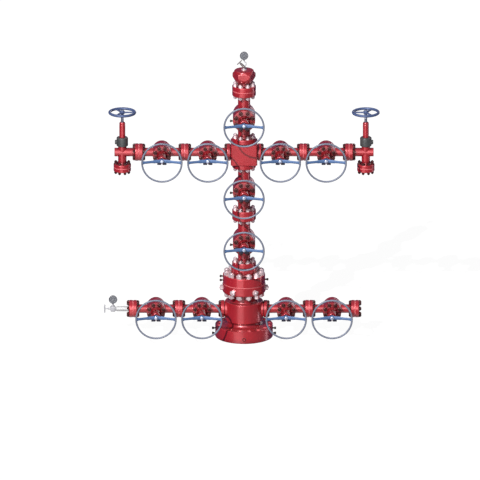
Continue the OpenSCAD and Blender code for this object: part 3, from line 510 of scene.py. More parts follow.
class Shape:
    """A closed mesh under construction, made with bmesh operators."""

    ROUNDING_STEPS = 3
    ROUNDING_SHARE = 0.49  # most of an edge that one rounding takes
    EDGE_STEPS = 2
    RIM_STEPS = 96
    RIM_SIDES = 18
    MERGE = 1e-6
    CREASE = math.radians(32)
    NUT_FACE = 0.96  # of the flats' radius
    FLAT_DROP = 0.2  # of the chamfer at the nut's corners
    STUD_CHAMFER = 0.22  # of the stud's radius

    def __init__(self) -> None:
        """Starts empty."""
        self.bm = bmesh.new()

    def closed(self) -> Shape:
        """Merges seams and poles, and turns the faces outwards.

        Returns:
            The same shape.
        """
        bmesh.ops.remove_doubles(self.bm, verts=self.bm.verts, dist=self.MERGE)
        bmesh.ops.recalc_face_normals(self.bm, faces=self.bm.faces)
        return self

    def swept(self, steps: int) -> Shape:
        """Spins the outline that is there once about Z.

        Args:
            steps: Facets round the axis.

        Returns:
            The same shape.
        """
        bmesh.ops.spin(
            self.bm, geom=self.bm.verts[:] + self.bm.edges[:], cent=(0, 0, 0), axis=(0, 0, 1), angle=math.tau,
            steps=steps, use_merge=True,
        )
        return self.closed()

    def extended(self, edges: list[bmesh.types.BMEdge]) -> tuple[list, list]:
        """Extrudes an open end, without moving it yet.

        Args:
            edges: The edges of the end.

        Returns:
            The vertices and the edges of the new end.
        """
        made = bmesh.ops.extrude_edge_only(self.bm, edges=edges)["geom"]
        verts = [part for part in made if isinstance(part, bmesh.types.BMVert)]
        return verts, [part for part in made if isinstance(part, bmesh.types.BMEdge) and part.is_boundary]

    @classmethod
    def rounded(cls, outline: Sequence[Corner]) -> list[Vector]:
        """Rounds the corners of an outline.

        Args:
            outline: Corners as (radius, height) or (radius, height, rounding).

        Returns:
            The points of the rounded outline.
        """
        points = []
        for i, (x, y, *rounding) in enumerate(outline):
            corner = Vector((x, y))
            if not rounding:
                points.append(corner)
                continue
            arms = [Vector(outline[i + side][:2]) - corner for side in (-1, 1)]
            cut = min(rounding[0], *(cls.ROUNDING_SHARE * arm.length for arm in arms))
            start, end = (corner + arm.normalized() * cut for arm in arms)
            for t in (step / cls.ROUNDING_STEPS for step in range(cls.ROUNDING_STEPS + 1)):
                points.append((1 - t) ** 2 * start + 2 * t * (1 - t) * corner + t ** 2 * end)
        return points

    @classmethod
    def turned(cls, outline: Sequence[Corner], steps: int = 56) -> Shape:
        """Spins an outline about Z.

        Args:
            outline: Corners as (radius, height) or (radius, height, rounding), from axis to axis or closed.
            steps: Facets round the axis.

        Returns:
            The turned shape.
        """
        shape = cls()
        points = cls.rounded(outline)
        verts = [shape.bm.verts.new((point.x, 0.0, point.y)) for point in points]
        pairs = list(zip(verts, verts[1:]))
        if points[0].x > 0:
            pairs.append((verts[-1], verts[0]))
        for pair in pairs:
            shape.bm.edges.new(pair)
        return shape.swept(steps)

    @classmethod
    def rod(cls, radius: float, low: float, high: float, steps: int, *rounding: float) -> Shape:
        """Plain round bar about Z between two heights; its upper edge is rounded if a rounding is given."""
        return cls.turned([(0, low), (radius, low), (radius, high, *rounding), (0, high)], steps)

    @classmethod
    def ring(cls, radius: float, tube_r: float) -> Shape:
        """Round bar bent into a ring about Z.

        Args:
            radius: Radius of the bar's centre line.
            tube_r: Radius of the bar.

        Returns:
            The ring.
        """
        shape = cls()
        place = at(radius, 0, 0, FORWARDS)
        bmesh.ops.create_circle(shape.bm, radius=tube_r, segments=cls.RIM_SIDES, matrix=place)
        return shape.swept(cls.RIM_STEPS)

    @classmethod
    def lofted(cls, stations: Sequence[Matrix], sides: int = 16) -> Shape:
        """Runs a round section through a row of stations, each of which moves, turns and scales it.

        Args:
            stations: Where the unit circle goes, in order.
            sides: Facets round the section.

        Returns:
            The lofted shape, with both ends closed.
        """
        shape = cls()
        bmesh.ops.create_circle(shape.bm, cap_ends=True, radius=1.0, segments=sides, matrix=stations[0])
        edges = shape.bm.edges[:]
        for before, after in zip(stations, stations[1:]):
            verts, edges = shape.extended(edges)
            bmesh.ops.transform(shape.bm, matrix=after @ before.inverted(), verts=verts)
        bmesh.ops.holes_fill(shape.bm, edges=edges)
        return shape.closed()

    @classmethod
    def bar(cls, path: Sequence[Vector], radius: float, sides: int = 14, end: float = 0.0) -> Shape:
        """Round bar or pipe along a path.

        Args:
            path: Points of its centre line.
            radius: Its radius.
            sides: Facets round it.
            end: Chamfer of its two ends.

        Returns:
            The bar.
        """
        points = [Vector(point) for point in path]
        stations = []
        for i, point in enumerate(points):
            ahead = points[min(i + 1, len(points) - 1)] - points[max(i - 1, 0)]
            turn = ahead.to_track_quat("Z", "Y").to_matrix().to_4x4()
            stations.append(at(*point, turn) @ oval(radius, radius))
        if end:
            shrink = oval(1 - end / radius, 1 - end / radius)
            first, last = stations[0], stations[-1]
            ends = first @ at(0, 0, end), last @ at(0, 0, -end)
            stations = [first @ shrink, ends[0], *stations[1:-1], ends[1], last @ shrink]
        return cls.lofted(stations, sides)

    @classmethod
    def block(cls, size: Sequence[float], rounding: float, corner: float = 0.0) -> Shape:
        """Box round the origin with rounded edges.

        Args:
            size: Its width, depth and height.
            rounding: Rounding of its edges.
            corner: Chamfer first cut on the four edges that run front to back.

        Returns:
            The box.
        """
        shape = cls()
        bmesh.ops.create_cube(shape.bm, size=1.0, matrix=Matrix.Diagonal((*size, 1.0)))
        along = [e for e in shape.bm.edges if abs((e.verts[0].co - e.verts[1].co).y) > size[1] / 2]
        for edges, offset, steps in ((along, corner, 1), (None, rounding, cls.EDGE_STEPS)):
            if offset:
                bmesh.ops.bevel(
                    shape.bm, geom=edges or shape.bm.edges[:], offset=offset, affect="EDGES", segments=steps,
                    profile=0.5, material=-1,
                )
        return shape.closed()

    @classmethod
    def nut(cls, across_flats: float, height: float, stud_d: float, proud: float) -> Shape:
        """Hexagonal nut standing on z = 0, with the end of its stud.

        Args:
            across_flats: Width across the flats.
            height: Height of the nut.
            stud_d: Diameter of the stud.
            proud: Length of stud above the nut.

        Returns:
            The nut.
        """
        flat_r, stud_r, twelfth = across_flats / 2, stud_d / 2, math.pi / 6
        corner_r, face_r = flat_r / COS_30, flat_r * cls.NUT_FACE
        drop = (corner_r - face_r) * math.tan(twelfth)
        tip, top = stud_r * cls.STUD_CHAMFER, height + proud
        levels = (
            ((corner_r, flat_r), (height - drop, height - drop * cls.FLAT_DROP)),
            ((face_r, face_r), (height, height)), ((stud_r, stud_r), (height, height)),
            ((stud_r, stud_r), (top - tip, top - tip)), ((stud_r - tip, stud_r - tip), (top, top)),
        )
        shape = cls()
        made = bmesh.ops.create_circle(shape.bm, cap_ends=True, radius=corner_r, segments=12)["verts"]
        edges = shape.bm.edges[:]
        on_flat = [round(math.atan2(vert.co.y, vert.co.x) / twelfth) % 2 for vert in made]
        for vert in (vert for vert, flat in zip(made, on_flat) if flat):
            vert.co *= flat_r / corner_r
        for radii, heights in levels:
            verts, edges = shape.extended(edges)
            for vert in verts:
                angle = math.atan2(vert.co.y, vert.co.x)
                flat = round(angle / twelfth) % 2
                vert.co = (radii[flat] * math.cos(angle), radii[flat] * math.sin(angle), heights[flat])
        bmesh.ops.holes_fill(shape.bm, edges=edges)
        return shape.closed()

    def add(self, other: Shape, *places: Matrix) -> Shape:
        """Adds copies of another shape.

        Args:
            other: The shape to copy.
            places: Where each copy goes; one stays where it is if there are none.

        Returns:
            The same shape, grown.
        """
        model = bpy.data.meshes.new("copy")
        other.bm.to_mesh(model)
        for place in places or (UPWARDS,):
            copy = model.copy()
            copy.transform(place)
            self.bm.from_mesh(copy)
            bpy.data.meshes.remove(copy)
        bpy.data.meshes.remove(model)
        return self

    def put(self, *places: Matrix) -> Shape:
        """Copies of this shape at the places, as one shape."""
        return Shape().add(self, *places)

    def piece(self, name: str, finish: Finish, body: str = TREE, *replaces: str) -> None:
        """Makes the shape a named piece of the object.

        Args:
            name: Name of the piece.
            finish: Its finish.
            body: The body that it moves with.
            replaces: The solids that it stands for.
        """
        mesh = bpy.data.meshes.new(name)
        self.bm.to_mesh(mesh)
        self.bm.free()
        mesh.shade_smooth()
        mesh.set_sharp_from_angle(angle=self.CREASE)
        mesh.materials.append(finish.material())
        made = placed(name, mesh)
        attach(made, body)
        if replaces:
            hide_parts(*replaces)
        log.info("%s: %d faces, on %s", name, len(mesh.polygons), body)


@dataclass(frozen=True)
class StudPattern:
    """Ring of studs and nuts, half a pitch off the front."""

    circle_d: float
    count: int
    stud_d: float
    across_flats: float = 0.0
    nut_h: float = 0.0
    seat: float = 0.0
    rim_r: float = 0.0
    proud: float = 0.009
    nut_turn: float = 0.37
    highlight_band_l: float = 0.0092
    highlight_band_gap: float = 0.002
    highlight_band_inset: float = 0.0035

    def highlight_band(self) -> Shape:
        """Thin band that fills the gap between two flange rims, outside the studs, in pale paint as a painted
        highlight along the joint.

        Returns:
            The band, centred on the joint plane.
        """
        inner, half = (self.circle_d + self.stud_d) / 2 + self.highlight_band_gap, self.highlight_band_l / 2
        outer = self.rim_r - self.highlight_band_inset
        return Shape.turned([(inner, -half), (outer, -half, 0.001), (outer, half, 0.001), (inner, half)], 72)

    def spots(self) -> list[Matrix]:
        """Places on the bolt circle, each nut turned a little further than the last."""
        turns = around(self.count, math.pi / self.count)
        return [turn @ at(self.circle_d / 2, 0, 0, spun(i * self.nut_turn)) for i, turn in enumerate(turns)]

    def nuts(self) -> Shape:
        """The ring of nuts with their stud ends, standing on z = 0."""
        return Shape.nut(self.across_flats, self.nut_h, self.stud_d, self.proud).put(*self.spots())

    def shanks(self, low: float, high: float) -> Shape:
        """The ring of plain studs between two heights."""
        section = oval(self.stud_d / 2, self.stud_d / 2)
        return Shape.lofted([at(0, 0, z) @ section for z in (low, high)], 10).put(*self.spots())


MAIN_STUDS = StudPattern(0.2159, 8, 0.0254, 0.0413, 0.0254, seat=0.0583, rim_r=0.135)
WING_STUDS = StudPattern(0.1588, 8, 0.019, 0.0318, 0.019, seat=0.0441, rim_r=0.099)
TUBING_STUDS = StudPattern(0.4032, 12, 0.0381, 0.0603, 0.038, seat=0.1065, rim_r=0.239, proud=0.012)
MAIN_BONNET_STUDS = StudPattern(0.206, 8, 0.0222, 0.0413, 0.0254)
WING_BONNET_STUDS = StudPattern(0.176, 8, 0.0191, 0.0365, 0.0222)


@dataclass
class BoltedJoint:
    """Flanged joint: nuts on its upper side, and on its lower side too if it is bolted through.

    Local +Z points from the joint plane to the side that always has nuts. Where the joint isn't bolted
    through, its studs are tapped in below the plane.
    """

    name: str
    place: Matrix
    pattern: StudPattern
    finish: Finish
    through: bool = False
    tapped: float = 0.03

    def build(self) -> None:
        """Makes the studs and nuts as one piece, and the painted highlight band where the joint is bolted
        through.
        """
        seat = self.pattern.seat
        shape = self.pattern.nuts().put(self.place @ at(0, 0, seat))
        if self.through:
            shape.add(self.pattern.nuts(), self.place @ at(0, 0, -seat, DOWNWARDS))
            self.pattern.highlight_band().put(self.place).piece(f"{self.name}_band", PALE_HIGHLIGHT_PAINT)
        shape.add(self.pattern.shanks(-seat if self.through else -self.tapped, seat), self.place)
        shape.piece(self.name, self.finish)


@dataclass
class Bolting:
    """Studs and nuts of every flanged joint."""

    head: StudPattern = TUBING_STUDS
    upright: StudPattern = MAIN_STUDS
    arms: StudPattern = WING_STUDS

    def run(self) -> list[BoltedJoint]:
        """Joints of the upright run, with bolting in the pale nut paint.

        Returns:
            The joints from the tubing head to the cap.
        """
        nodes = ("tubing_head_adapter", "lower_master_body", "upper_master_body", "tree_cap_hub")
        adapter, lower, upper, cap = (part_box(node)[0].z for node in nodes)
        cross_low, cross_high = (corner.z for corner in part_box("flow_cross"))
        return [
            BoltedJoint(f"{name}_bolting", at(0, 0, z, turn), pattern, PALE_REFLECTING_NUT, through)
            for name, z, turn, pattern, through in (
                ("tubing_head", adapter, UPWARDS, self.head, True),
                ("adapter", lower, UPWARDS, self.upright, False),
                ("master", upper, UPWARDS, self.upright, True),
                ("cross_lower", cross_low, DOWNWARDS, self.upright, False),
                ("cross_upper", cross_high, UPWARDS, self.upright, False),
                ("cap", cap, UPWARDS, self.upright, True),
            )
        ]

    def arm(self, arm: Arm, side: Side) -> list[BoltedJoint]:
        """Joints of one arm: studded at the well, bolted through at the two others.

        Args:
            arm: The pair of arms.
            side: The side that the arm is on.

        Returns:
            The joints from the well outwards.
        """
        nodes = [f"{arm.value}_{side.value}_{place}_body" for place in ("inner", "outer")]
        xs = sorted(abs(corner.x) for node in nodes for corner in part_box(node))
        z = centre(nodes[0]).z
        return [
            BoltedJoint(
                f"{arm.value}_{side.value}_{name}_bolting", at(side.sign * x, 0, z, side.outwards), self.arms,
                DARK_REFLECTING_NUT, through,
            )
            for name, x, through in (("inner", xs[0], False), ("middle", xs[1], True), ("end", xs[3], True))
        ]

    def outlets(self) -> list[BoltedJoint]:
        """Joints under the two chokes.

        Returns:
            Both joints.
        """
        low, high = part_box("choke_outlet_flanges")
        x = high.x - (high.y - low.y) / 2
        places = {f"choke_{side.value}_bolting": at(side.sign * x, 0, high.z) for side in Side}
        return [BoltedJoint(name, place, self.arms, DARK_REFLECTING_NUT, True) for name, place in places.items()]

    def build(self) -> None:
        """Makes the bolting of every joint."""
        arms = [joint for arm in Arm for side in Side for joint in self.arm(arm, side)]
        for joint in self.run() + self.outlets() + arms:
            joint.build()


@dataclass
class Bonnets:
    """Bolted bonnets of valves of one size: flange, cone, neck and bearing cap, with nuts and stud ends."""

    name: str
    node: str
    bodies: Sequence[str]
    flange_t: float
    neck_r: float
    pattern: StudPattern
    barrel_l: float = 0.0
    groove: float = 0.003
    cone_l: float = 0.034
    cone_foot: float = 0.02
    cap_l: float = 0.046
    cap_rise: float = 0.006
    cap_chamfer: float = 0.012
    stem_r: float = 0.016
    bore_gap: float = 0.0005
    bore_foot: float = 0.012

    def casting(self, length: float, rim: float) -> Shape:
        """One bonnet standing on z = 0, its stem along +Z.

        Args:
            length: Its length.
            rim: Radius of its flange.

        Returns:
            The bonnet.
        """
        neck, cap_r, bore = self.neck_r, self.neck_r + self.cap_rise, self.stem_r + self.bore_gap
        joint, gap, seat, cap = self.barrel_l, self.groove, self.barrel_l + self.flange_t, length - self.cap_l
        low, high, chamfer = joint - gap, joint + gap, self.cap_chamfer
        split = [(rim, low, 0.001), (rim - gap, low), (rim - gap, high), (rim, high, 0.001)]
        return Shape.turned([
            (0, 0), (rim, 0, 0.003), *(split if joint else []), (rim, seat, 0.006),
            (neck + self.cone_foot, seat, 0.004), (neck, seat + self.cone_l, 0.012),
            (neck, cap - 0.006, 0.004), (neck - 0.004, cap, 0.001), (cap_r, cap, 0.002),
            (cap_r, length - chamfer, 0.003), (cap_r - chamfer, length, 0.003),
            (self.stem_r + 0.012, length, 0.002), (self.stem_r + 0.009, length - 0.004, 0.001),
            (bore, length - 0.004), (bore, self.bore_foot), (0, self.bore_foot),
        ])

    def build(self) -> None:
        """Makes the castings and their nuts."""
        low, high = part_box(self.node)
        places = [at(middle.x, high.y, middle.z, FORWARDS) for middle in map(centre, self.bodies)]
        casting = self.casting(high.y - low.y, (high.z - low.z) / 2)
        # The bonnets take the darker red, which paints their shade.
        casting.put(*places).piece(f"{self.name}_castings", SHADED_RED_BONNET, TREE, self.node)
        seats = [place @ at(0, 0, self.barrel_l + self.flange_t) for place in places]
        self.pattern.nuts().put(*seats).piece(f"{self.name}_nuts", DARK_REFLECTING_NUT)


@dataclass
class GateHandwheel:
    """Two-spoke dished handwheel on its rising stem."""

    valve: str
    tube_r: float = 0.0105
    hub_r: float = 0.025
    hub_l: float = 0.044
    boss_r: float = 0.022
    lug_w: float = 0.046
    lug_h: float = 0.044
    lug_gap: float = 0.014
    lug_drop: float = 0.004
    dish: float = 0.066
    stem_r: float = 0.016
    nose_r: float = 0.02
    nose_l: float = 0.009
    root_r: float = 0.012
    root_h: float = 0.043
    arm_h: float = 0.031
    flare_h: float = 0.06
    arm_t: float = 0.016
    shoulder_r: float = 0.098

    def __post_init__(self) -> None:
        """Reads the wheel's axis, its rim and the stem's foot from the solid."""
        self.node, self.body = f"{self.valve}_handwheel", f"{self.valve}_wheel"
        low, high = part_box(self.node)
        middle = centre(self.node)
        self.place = at(middle.x, 0, middle.z, FORWARDS)
        self.rim_r = (high.x - low.x) / 2 - self.tube_r
        self.rim_plane = -low.y - self.tube_r
        self.foot = -high.y
        self.hub_mid = self.rim_plane - self.dish
        self.back, self.front = self.hub_mid - self.hub_l / 2, self.hub_mid + self.hub_l / 2

    def arm(self) -> Shape:
        """One spoke along +X: wide root, shoulder, narrow arm and a flare into the rim; +Z is forwards.

        Returns:
            The spoke.
        """
        narrow_r = self.shoulder_r + (self.root_h - self.arm_h) * 0.7
        start_r = self.hub_r * 0.7
        stations = []
        for r, h, thickness in (
            (self.root_r, self.root_h, 1.3), (start_r, self.root_h, 1.3),
            (self.shoulder_r - 0.012, self.root_h * 0.95, 1.1), (self.shoulder_r, self.root_h * 0.86, 1.0),
            (narrow_r, self.arm_h * 1.05, 1.0), (narrow_r + 0.02, self.arm_h, 1.0),
            (self.rim_r - 0.03, self.arm_h, 1.0), (self.rim_r - 0.016, self.arm_h * 1.3, 1.0),
            (self.rim_r - 0.006, self.flare_h * 0.8, 1.0), (self.rim_r, self.flare_h, 0.9),
        ):
            climb = max(0.0, (r - start_r) / (self.rim_r - start_r))
            place = at(r, 0, self.hub_mid + climb * self.dish, TO_RIGHT)
            stations.append(place @ oval(self.arm_t * thickness / 2, h / 2))
        return Shape.lofted(stations, 18)

    def hub(self) -> Shape:
        """Hub behind the spokes and its boss in front of them, along +Z."""
        shoulder = self.hub_mid + self.arm_t * 0.3
        return Shape.turned([
            (0, self.back), (self.hub_r - 0.004, self.back, 0.002), (self.hub_r, self.back + 0.006, 0.002),
            (self.hub_r, shoulder - 0.004, 0.002), (self.hub_r - 0.003, shoulder, 0.001),
            (self.boss_r + 0.002, shoulder, 0.001), (self.boss_r, self.front - 0.003, 0.002),
            (self.boss_r - 0.003, self.front, 0.001), (0, self.front),
        ])

    def shade_lugs(self) -> Shape:
        """Two dark lugs that hang below the hub, along +Z: painted shade under the hub.

        Returns:
            The clamp.
        """
        depth = self.hub_l / 2 - 0.004
        across, drop = (self.lug_w + self.lug_gap) / 2, self.lug_h / 2 + self.lug_drop
        places = [at(side.sign * across, -drop, self.back + 0.002 + depth / 2) for side in Side]
        return Shape.block((self.lug_w, self.lug_h, depth), 0.003).put(*places)

    def stem(self) -> Shape:
        """The stem with its nose, along +Z."""
        tip, neck = self.front + self.nose_l, self.front - 0.002
        return Shape.turned([
            (0, self.foot), (self.stem_r, self.foot), (self.stem_r, neck), (self.nose_r, neck),
            (self.nose_r, tip - 0.003, 0.003), (self.nose_r - 0.007, tip, 0.004), (0, tip),
        ], 32)

    def build(self) -> None:
        """Makes the painted wheel with its rim in a paler blue that paints sheen, the dark lugs that paint
        shade under the hub, and the bright stem.
        """
        rim = Shape.ring(self.rim_r, self.tube_r).put(self.place @ at(0, 0, self.rim_plane))
        rim.piece(f"{self.body}_rim", PALE_RIM_BLUE, self.body)
        wheel = self.hub().put(self.place).add(self.arm(), *(self.place @ turn for turn in around(2)))
        wheel.piece(f"{self.body}_casting", BLUE_WHEEL, self.body, self.node)
        self.shade_lugs().put(self.place).piece(f"{self.body}_clamp", LUG_SHADE_PAINT, self.body)
        self.stem().put(self.place).piece(f"{self.body}_stem", BRIGHT_STEEL, self.body)


@dataclass
class ChokeHandwheel:
    """Flat three-spoke handwheel on the upright stem of a choke."""

    side: Side
    tube_r: float = 0.0155
    hub_r: float = 0.028
    hub_h: float = 0.04
    stem_r: float = 0.016
    stem_proud: float = 0.008
    spokes: int = 3

    def spoke(self, rim_r: float) -> Shape:
        """One spoke along +X, which flares into the rim.

        Args:
            rim_r: Radius of the rim's centre line.

        Returns:
            The spoke.
        """
        return Shape.lofted([
            at(r, 0, 0, TO_RIGHT) @ oval(t / 2, w / 2)
            for r, w, t in (
                (0.01, 0.046, 0.02), (0.03, 0.042, 0.017), (rim_r * 0.5, 0.034, 0.015),
                (rim_r - 0.028, 0.036, 0.015), (rim_r - 0.01, 0.048, 0.016), (rim_r, 0.06, 0.016),
            )
        ])

    def build(self) -> None:
        """Makes the painted wheel and the dull stem."""
        node, body = f"{self.side.value}_choke_handwheel", f"{self.side.value}_choke_wheel"
        low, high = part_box(node)
        rim_r, x, half = (high.y - low.y) / 2 - self.tube_r, centre(node).x, self.hub_h / 2
        place = at(x, 0, high.z - self.stem_proud - half)
        hub = Shape.turned([
            (0, -half), (self.hub_r - 0.004, -half, 0.003), (self.hub_r, 0, 0.004),
            (self.hub_r - 0.002, half, 0.004), (0, half),
        ], 36)
        wheel = Shape.ring(rim_r, self.tube_r).put(place).add(hub, place)
        # One spoke points to the well.
        turns = around(self.spokes, math.pi if self.side is Side.RIGHT else 0.0)
        wheel.add(self.spoke(rim_r), *(place @ turn for turn in turns))
        wheel.piece(f"{body}_casting", DEEP_BLUE, body, node)
        stem = Shape.rod(self.stem_r, low.z, high.z, 28, 0.003)
        stem.put(at(x, 0, 0)).piece(f"{body}_stem", DULL_STEEL, body)


@dataclass
class ChokeHeads:
    """Hammer collars with one lug each, and the tall stem housings that they hold."""

    collar_node: str = "choke_collars"
    housing_node: str = "choke_stem_housings"
    collar_r: float = 0.0655
    housing_r: float = 0.0295
    swell: float = 0.0045
    lip: float = 0.016
    stem_r: float = 0.016
    lug_w: float = 0.034
    lug_h: float = 0.046

    def lug(self, reach: float) -> Shape:
        """The lug that a hammer strikes, along +X out to its reach from the collar's axis."""
        start = self.collar_r * 0.7
        return Shape.block((reach - start, self.lug_w, self.lug_h), 0.004).put(at((start + reach) / 2, 0, 0))

    def collar(self, top: float) -> Shape:
        """A collar of this height, with a pocket for the housing."""
        pocket_r = self.housing_r + self.swell + 0.002
        return Shape.turned([
            (0, 0), (self.collar_r - 0.004, 0, 0.002), (self.collar_r, 0.005, 0.003),
            (self.collar_r, top - 0.007, 0.004), (self.collar_r - 0.008, top, 0.003), (pocket_r, top, 0.001),
            (pocket_r, top - 0.01), (0, top - 0.01),
        ])

    def housing(self, top: float) -> Shape:
        """A housing of this height, with a groove under its cap and a bore for the stem."""
        pipe_r, bore = self.housing_r + self.swell, self.stem_r + 0.001
        return Shape.turned([
            (0, 0.01), (pipe_r, 0.01), (pipe_r, top - 0.034, 0.001), (pipe_r - 0.002, top - 0.03, 0.001),
            (pipe_r, top - 0.026, 0.002), (pipe_r, top - 0.012, 0.003), (pipe_r - 0.008, top, 0.003),
            (bore, top, 0.001), (bore, 0.03), (0, 0.03),
        ])

    def build(self) -> None:
        """Makes both collars and both housings."""
        low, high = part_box(self.collar_node)
        _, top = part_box(self.housing_node)
        height, axis_x = high.z - low.z, top.x - self.housing_r
        collars, places = Shape(), {side: at(side.sign * axis_x, 0, low.z) for side in Side}
        for side, place in places.items():
            collars.add(self.collar(height + self.lip), place)
            collars.add(self.lug(high.x - axis_x), place @ at(0, 0, height / 2, side.facing))
        collars.piece("choke_collar_castings", GREY_IRON, TREE, self.collar_node)
        housings = self.housing(top.z - low.z).put(*places.values())
        housings.piece("choke_housing_castings", RED_CASTING, TREE, self.housing_node)


@dataclass
class Gauge:
    """Round pressure gauge that faces the front, on its square socket."""

    node: str
    start: float = math.radians(225)
    sweep: float = math.radians(-270)
    reading: float = 0.0
    graduations: int = 50
    per_figure: int = 10
    step: int = 2
    bezel_w: float = 0.006
    recess: float = 0.006
    socket_w: float = 0.02
    socket_in: float = 0.006
    ring_share: float = 0.93
    long_share: float = 0.14
    long_w: float = 0.0011
    short_share: float = 0.08
    short_w: float = 0.0005
    ink_h: float = 0.0006
    ink_t: float = 0.0002
    figure_share: float = 0.62
    figure_size: float = 0.19
    card_t: float = 0.0005
    boss_r: float = 0.004
    boss_t: float = 0.0016
    pointer_share: float = 0.78
    pointer_w: float = 0.0012
    pointer_h: float = 0.0012
    window_drop: float = 0.0032

    def __post_init__(self) -> None:
        """Reads the case and the length of its socket from the solid."""
        low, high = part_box(self.node)
        self.radius = (high.x - low.x) / 2
        self.depth = high.y - low.y
        self.socket_l = high.z - low.z - 2 * self.radius
        self.place = at(centre(self.node).x, high.y, high.z - self.radius, FORWARDS)
        self.dial_z = self.depth - self.recess
        self.dial_r = self.radius - self.bezel_w

    def case(self) -> Shape:
        """Stepped case with its bezel, open at the front, and the socket.

        Returns:
            The case.
        """
        r, d, dial = self.radius, self.depth, self.dial_r
        case = Shape.turned([
            (0, 0), (r - 0.01, 0, 0.003), (r - 0.004, 0.006, 0.003), (r - 0.004, d - 0.012, 0.001),
            (r, d - 0.01, 0.0015), (r, d - 0.002, 0.002), (r - 0.002, d, 0.002), (dial + 0.001, d, 0.001),
            (dial, d - 0.0015), (dial, self.dial_z), (0, self.dial_z),
        ], 72)
        socket = Shape.block((self.socket_w, self.socket_l + 2 * self.socket_in, self.socket_w), 0.002)
        return case.add(socket, at(0, self.socket_in - r - self.socket_l / 2, d / 2))

    def spot(self, share: float, radius: float, height: float) -> Matrix:
        """A place on the dial.

        Args:
            share: Share of the full scale.
            radius: Distance from the dial's centre.
            height: Height above the dial.

        Returns:
            The place, with local Y pointing outwards.
        """
        angle = self.start + self.sweep * share
        place = at(radius * math.cos(angle), radius * math.sin(angle), self.dial_z + height)
        return place @ spun(angle - math.pi / 2)

    def figure(self, value: int) -> Shape:
        """One plain number, lying flat and centred.

        Args:
            value: The number.

        Returns:
            The number as a thin solid.
        """
        curve = bpy.data.curves.new("figure", "FONT")
        curve.body = str(value)
        curve.size = self.radius * self.figure_size
        curve.extrude = self.ink_t / 2
        curve.resolution_u = 2
        curve.align_x, curve.align_y = "CENTER", "CENTER"
        holder = bpy.data.objects.new("figure", curve)
        mesh = bpy.data.meshes.new_from_object(holder)
        shape = Shape()
        shape.bm.from_mesh(mesh)
        bpy.data.objects.remove(holder)
        bpy.data.curves.remove(curve)
        bpy.data.meshes.remove(mesh)
        return shape.closed()

    def markings(self) -> Shape:
        """Graduations and figures.

        Returns:
            The markings.
        """
        shape = Shape()
        outer, figure_r = self.dial_r * self.ring_share, self.dial_r * self.figure_share
        for i in range(self.graduations + 1):
            share, major = i / self.graduations, i % self.per_figure == 0
            length = self.dial_r * (self.long_share if major else self.short_share)
            line = Shape.block((self.long_w if major else self.short_w, length, self.ink_t), 0.0)
            shape.add(line, self.place @ self.spot(share, outer - length / 2, self.ink_h))
            if major:
                middle = self.spot(share, figure_r, self.ink_h).translation
                shape.add(self.figure(i // self.per_figure * self.step), self.place @ at(*middle))
        return shape

    def pointer(self) -> Shape:
        """Tapered pointer along +Y, on its boss.

        Returns:
            The pointer.
        """
        r, t = self.boss_r, self.boss_t
        boss = Shape.turned([(0, 0), (r, 0, 0.0005), (r, t, 0.0008), (0, t)], 24)
        long, width = self.dial_r * self.pointer_share, self.pointer_w
        ahead = Matrix.Rotation(-math.pi / 2, 4, "X")
        return boss.add(Shape.lofted([
            at(0, y, 0.001, ahead) @ oval(w, 0.0003)
            for y, w in ((-long * 0.25, width * 1.5), (0, width * 1.3), (long, width * 0.2))
        ], 8))

    def build(self) -> None:
        """Makes the case, dial, markings, pointer and window."""
        glass_r = self.dial_r - 0.0002
        window = Shape.turned([(0, 0), (glass_r, 0), (glass_r, 0.0012, 0.0004), (0, 0.0014)], 64)
        self.case().put(self.place).piece(f"{self.node}_case", GAUGE_CASE, TREE, self.node)
        card = Shape.rod(self.dial_r - 0.0003, 0, self.card_t, 64)
        card.put(self.place @ at(0, 0, self.dial_z)).piece(f"{self.node}_dial", DIAL_FACE)
        self.markings().piece(f"{self.node}_markings", DIAL_INK)
        needle = self.place @ self.spot(self.reading, 0, self.pointer_h)
        self.pointer().put(needle).piece(f"{self.node}_pointer", DIAL_INK)
        glazed = self.place @ at(0, 0, self.depth - self.window_drop)
        window.put(glazed).piece(f"{self.node}_window", GAUGE_GLASS)


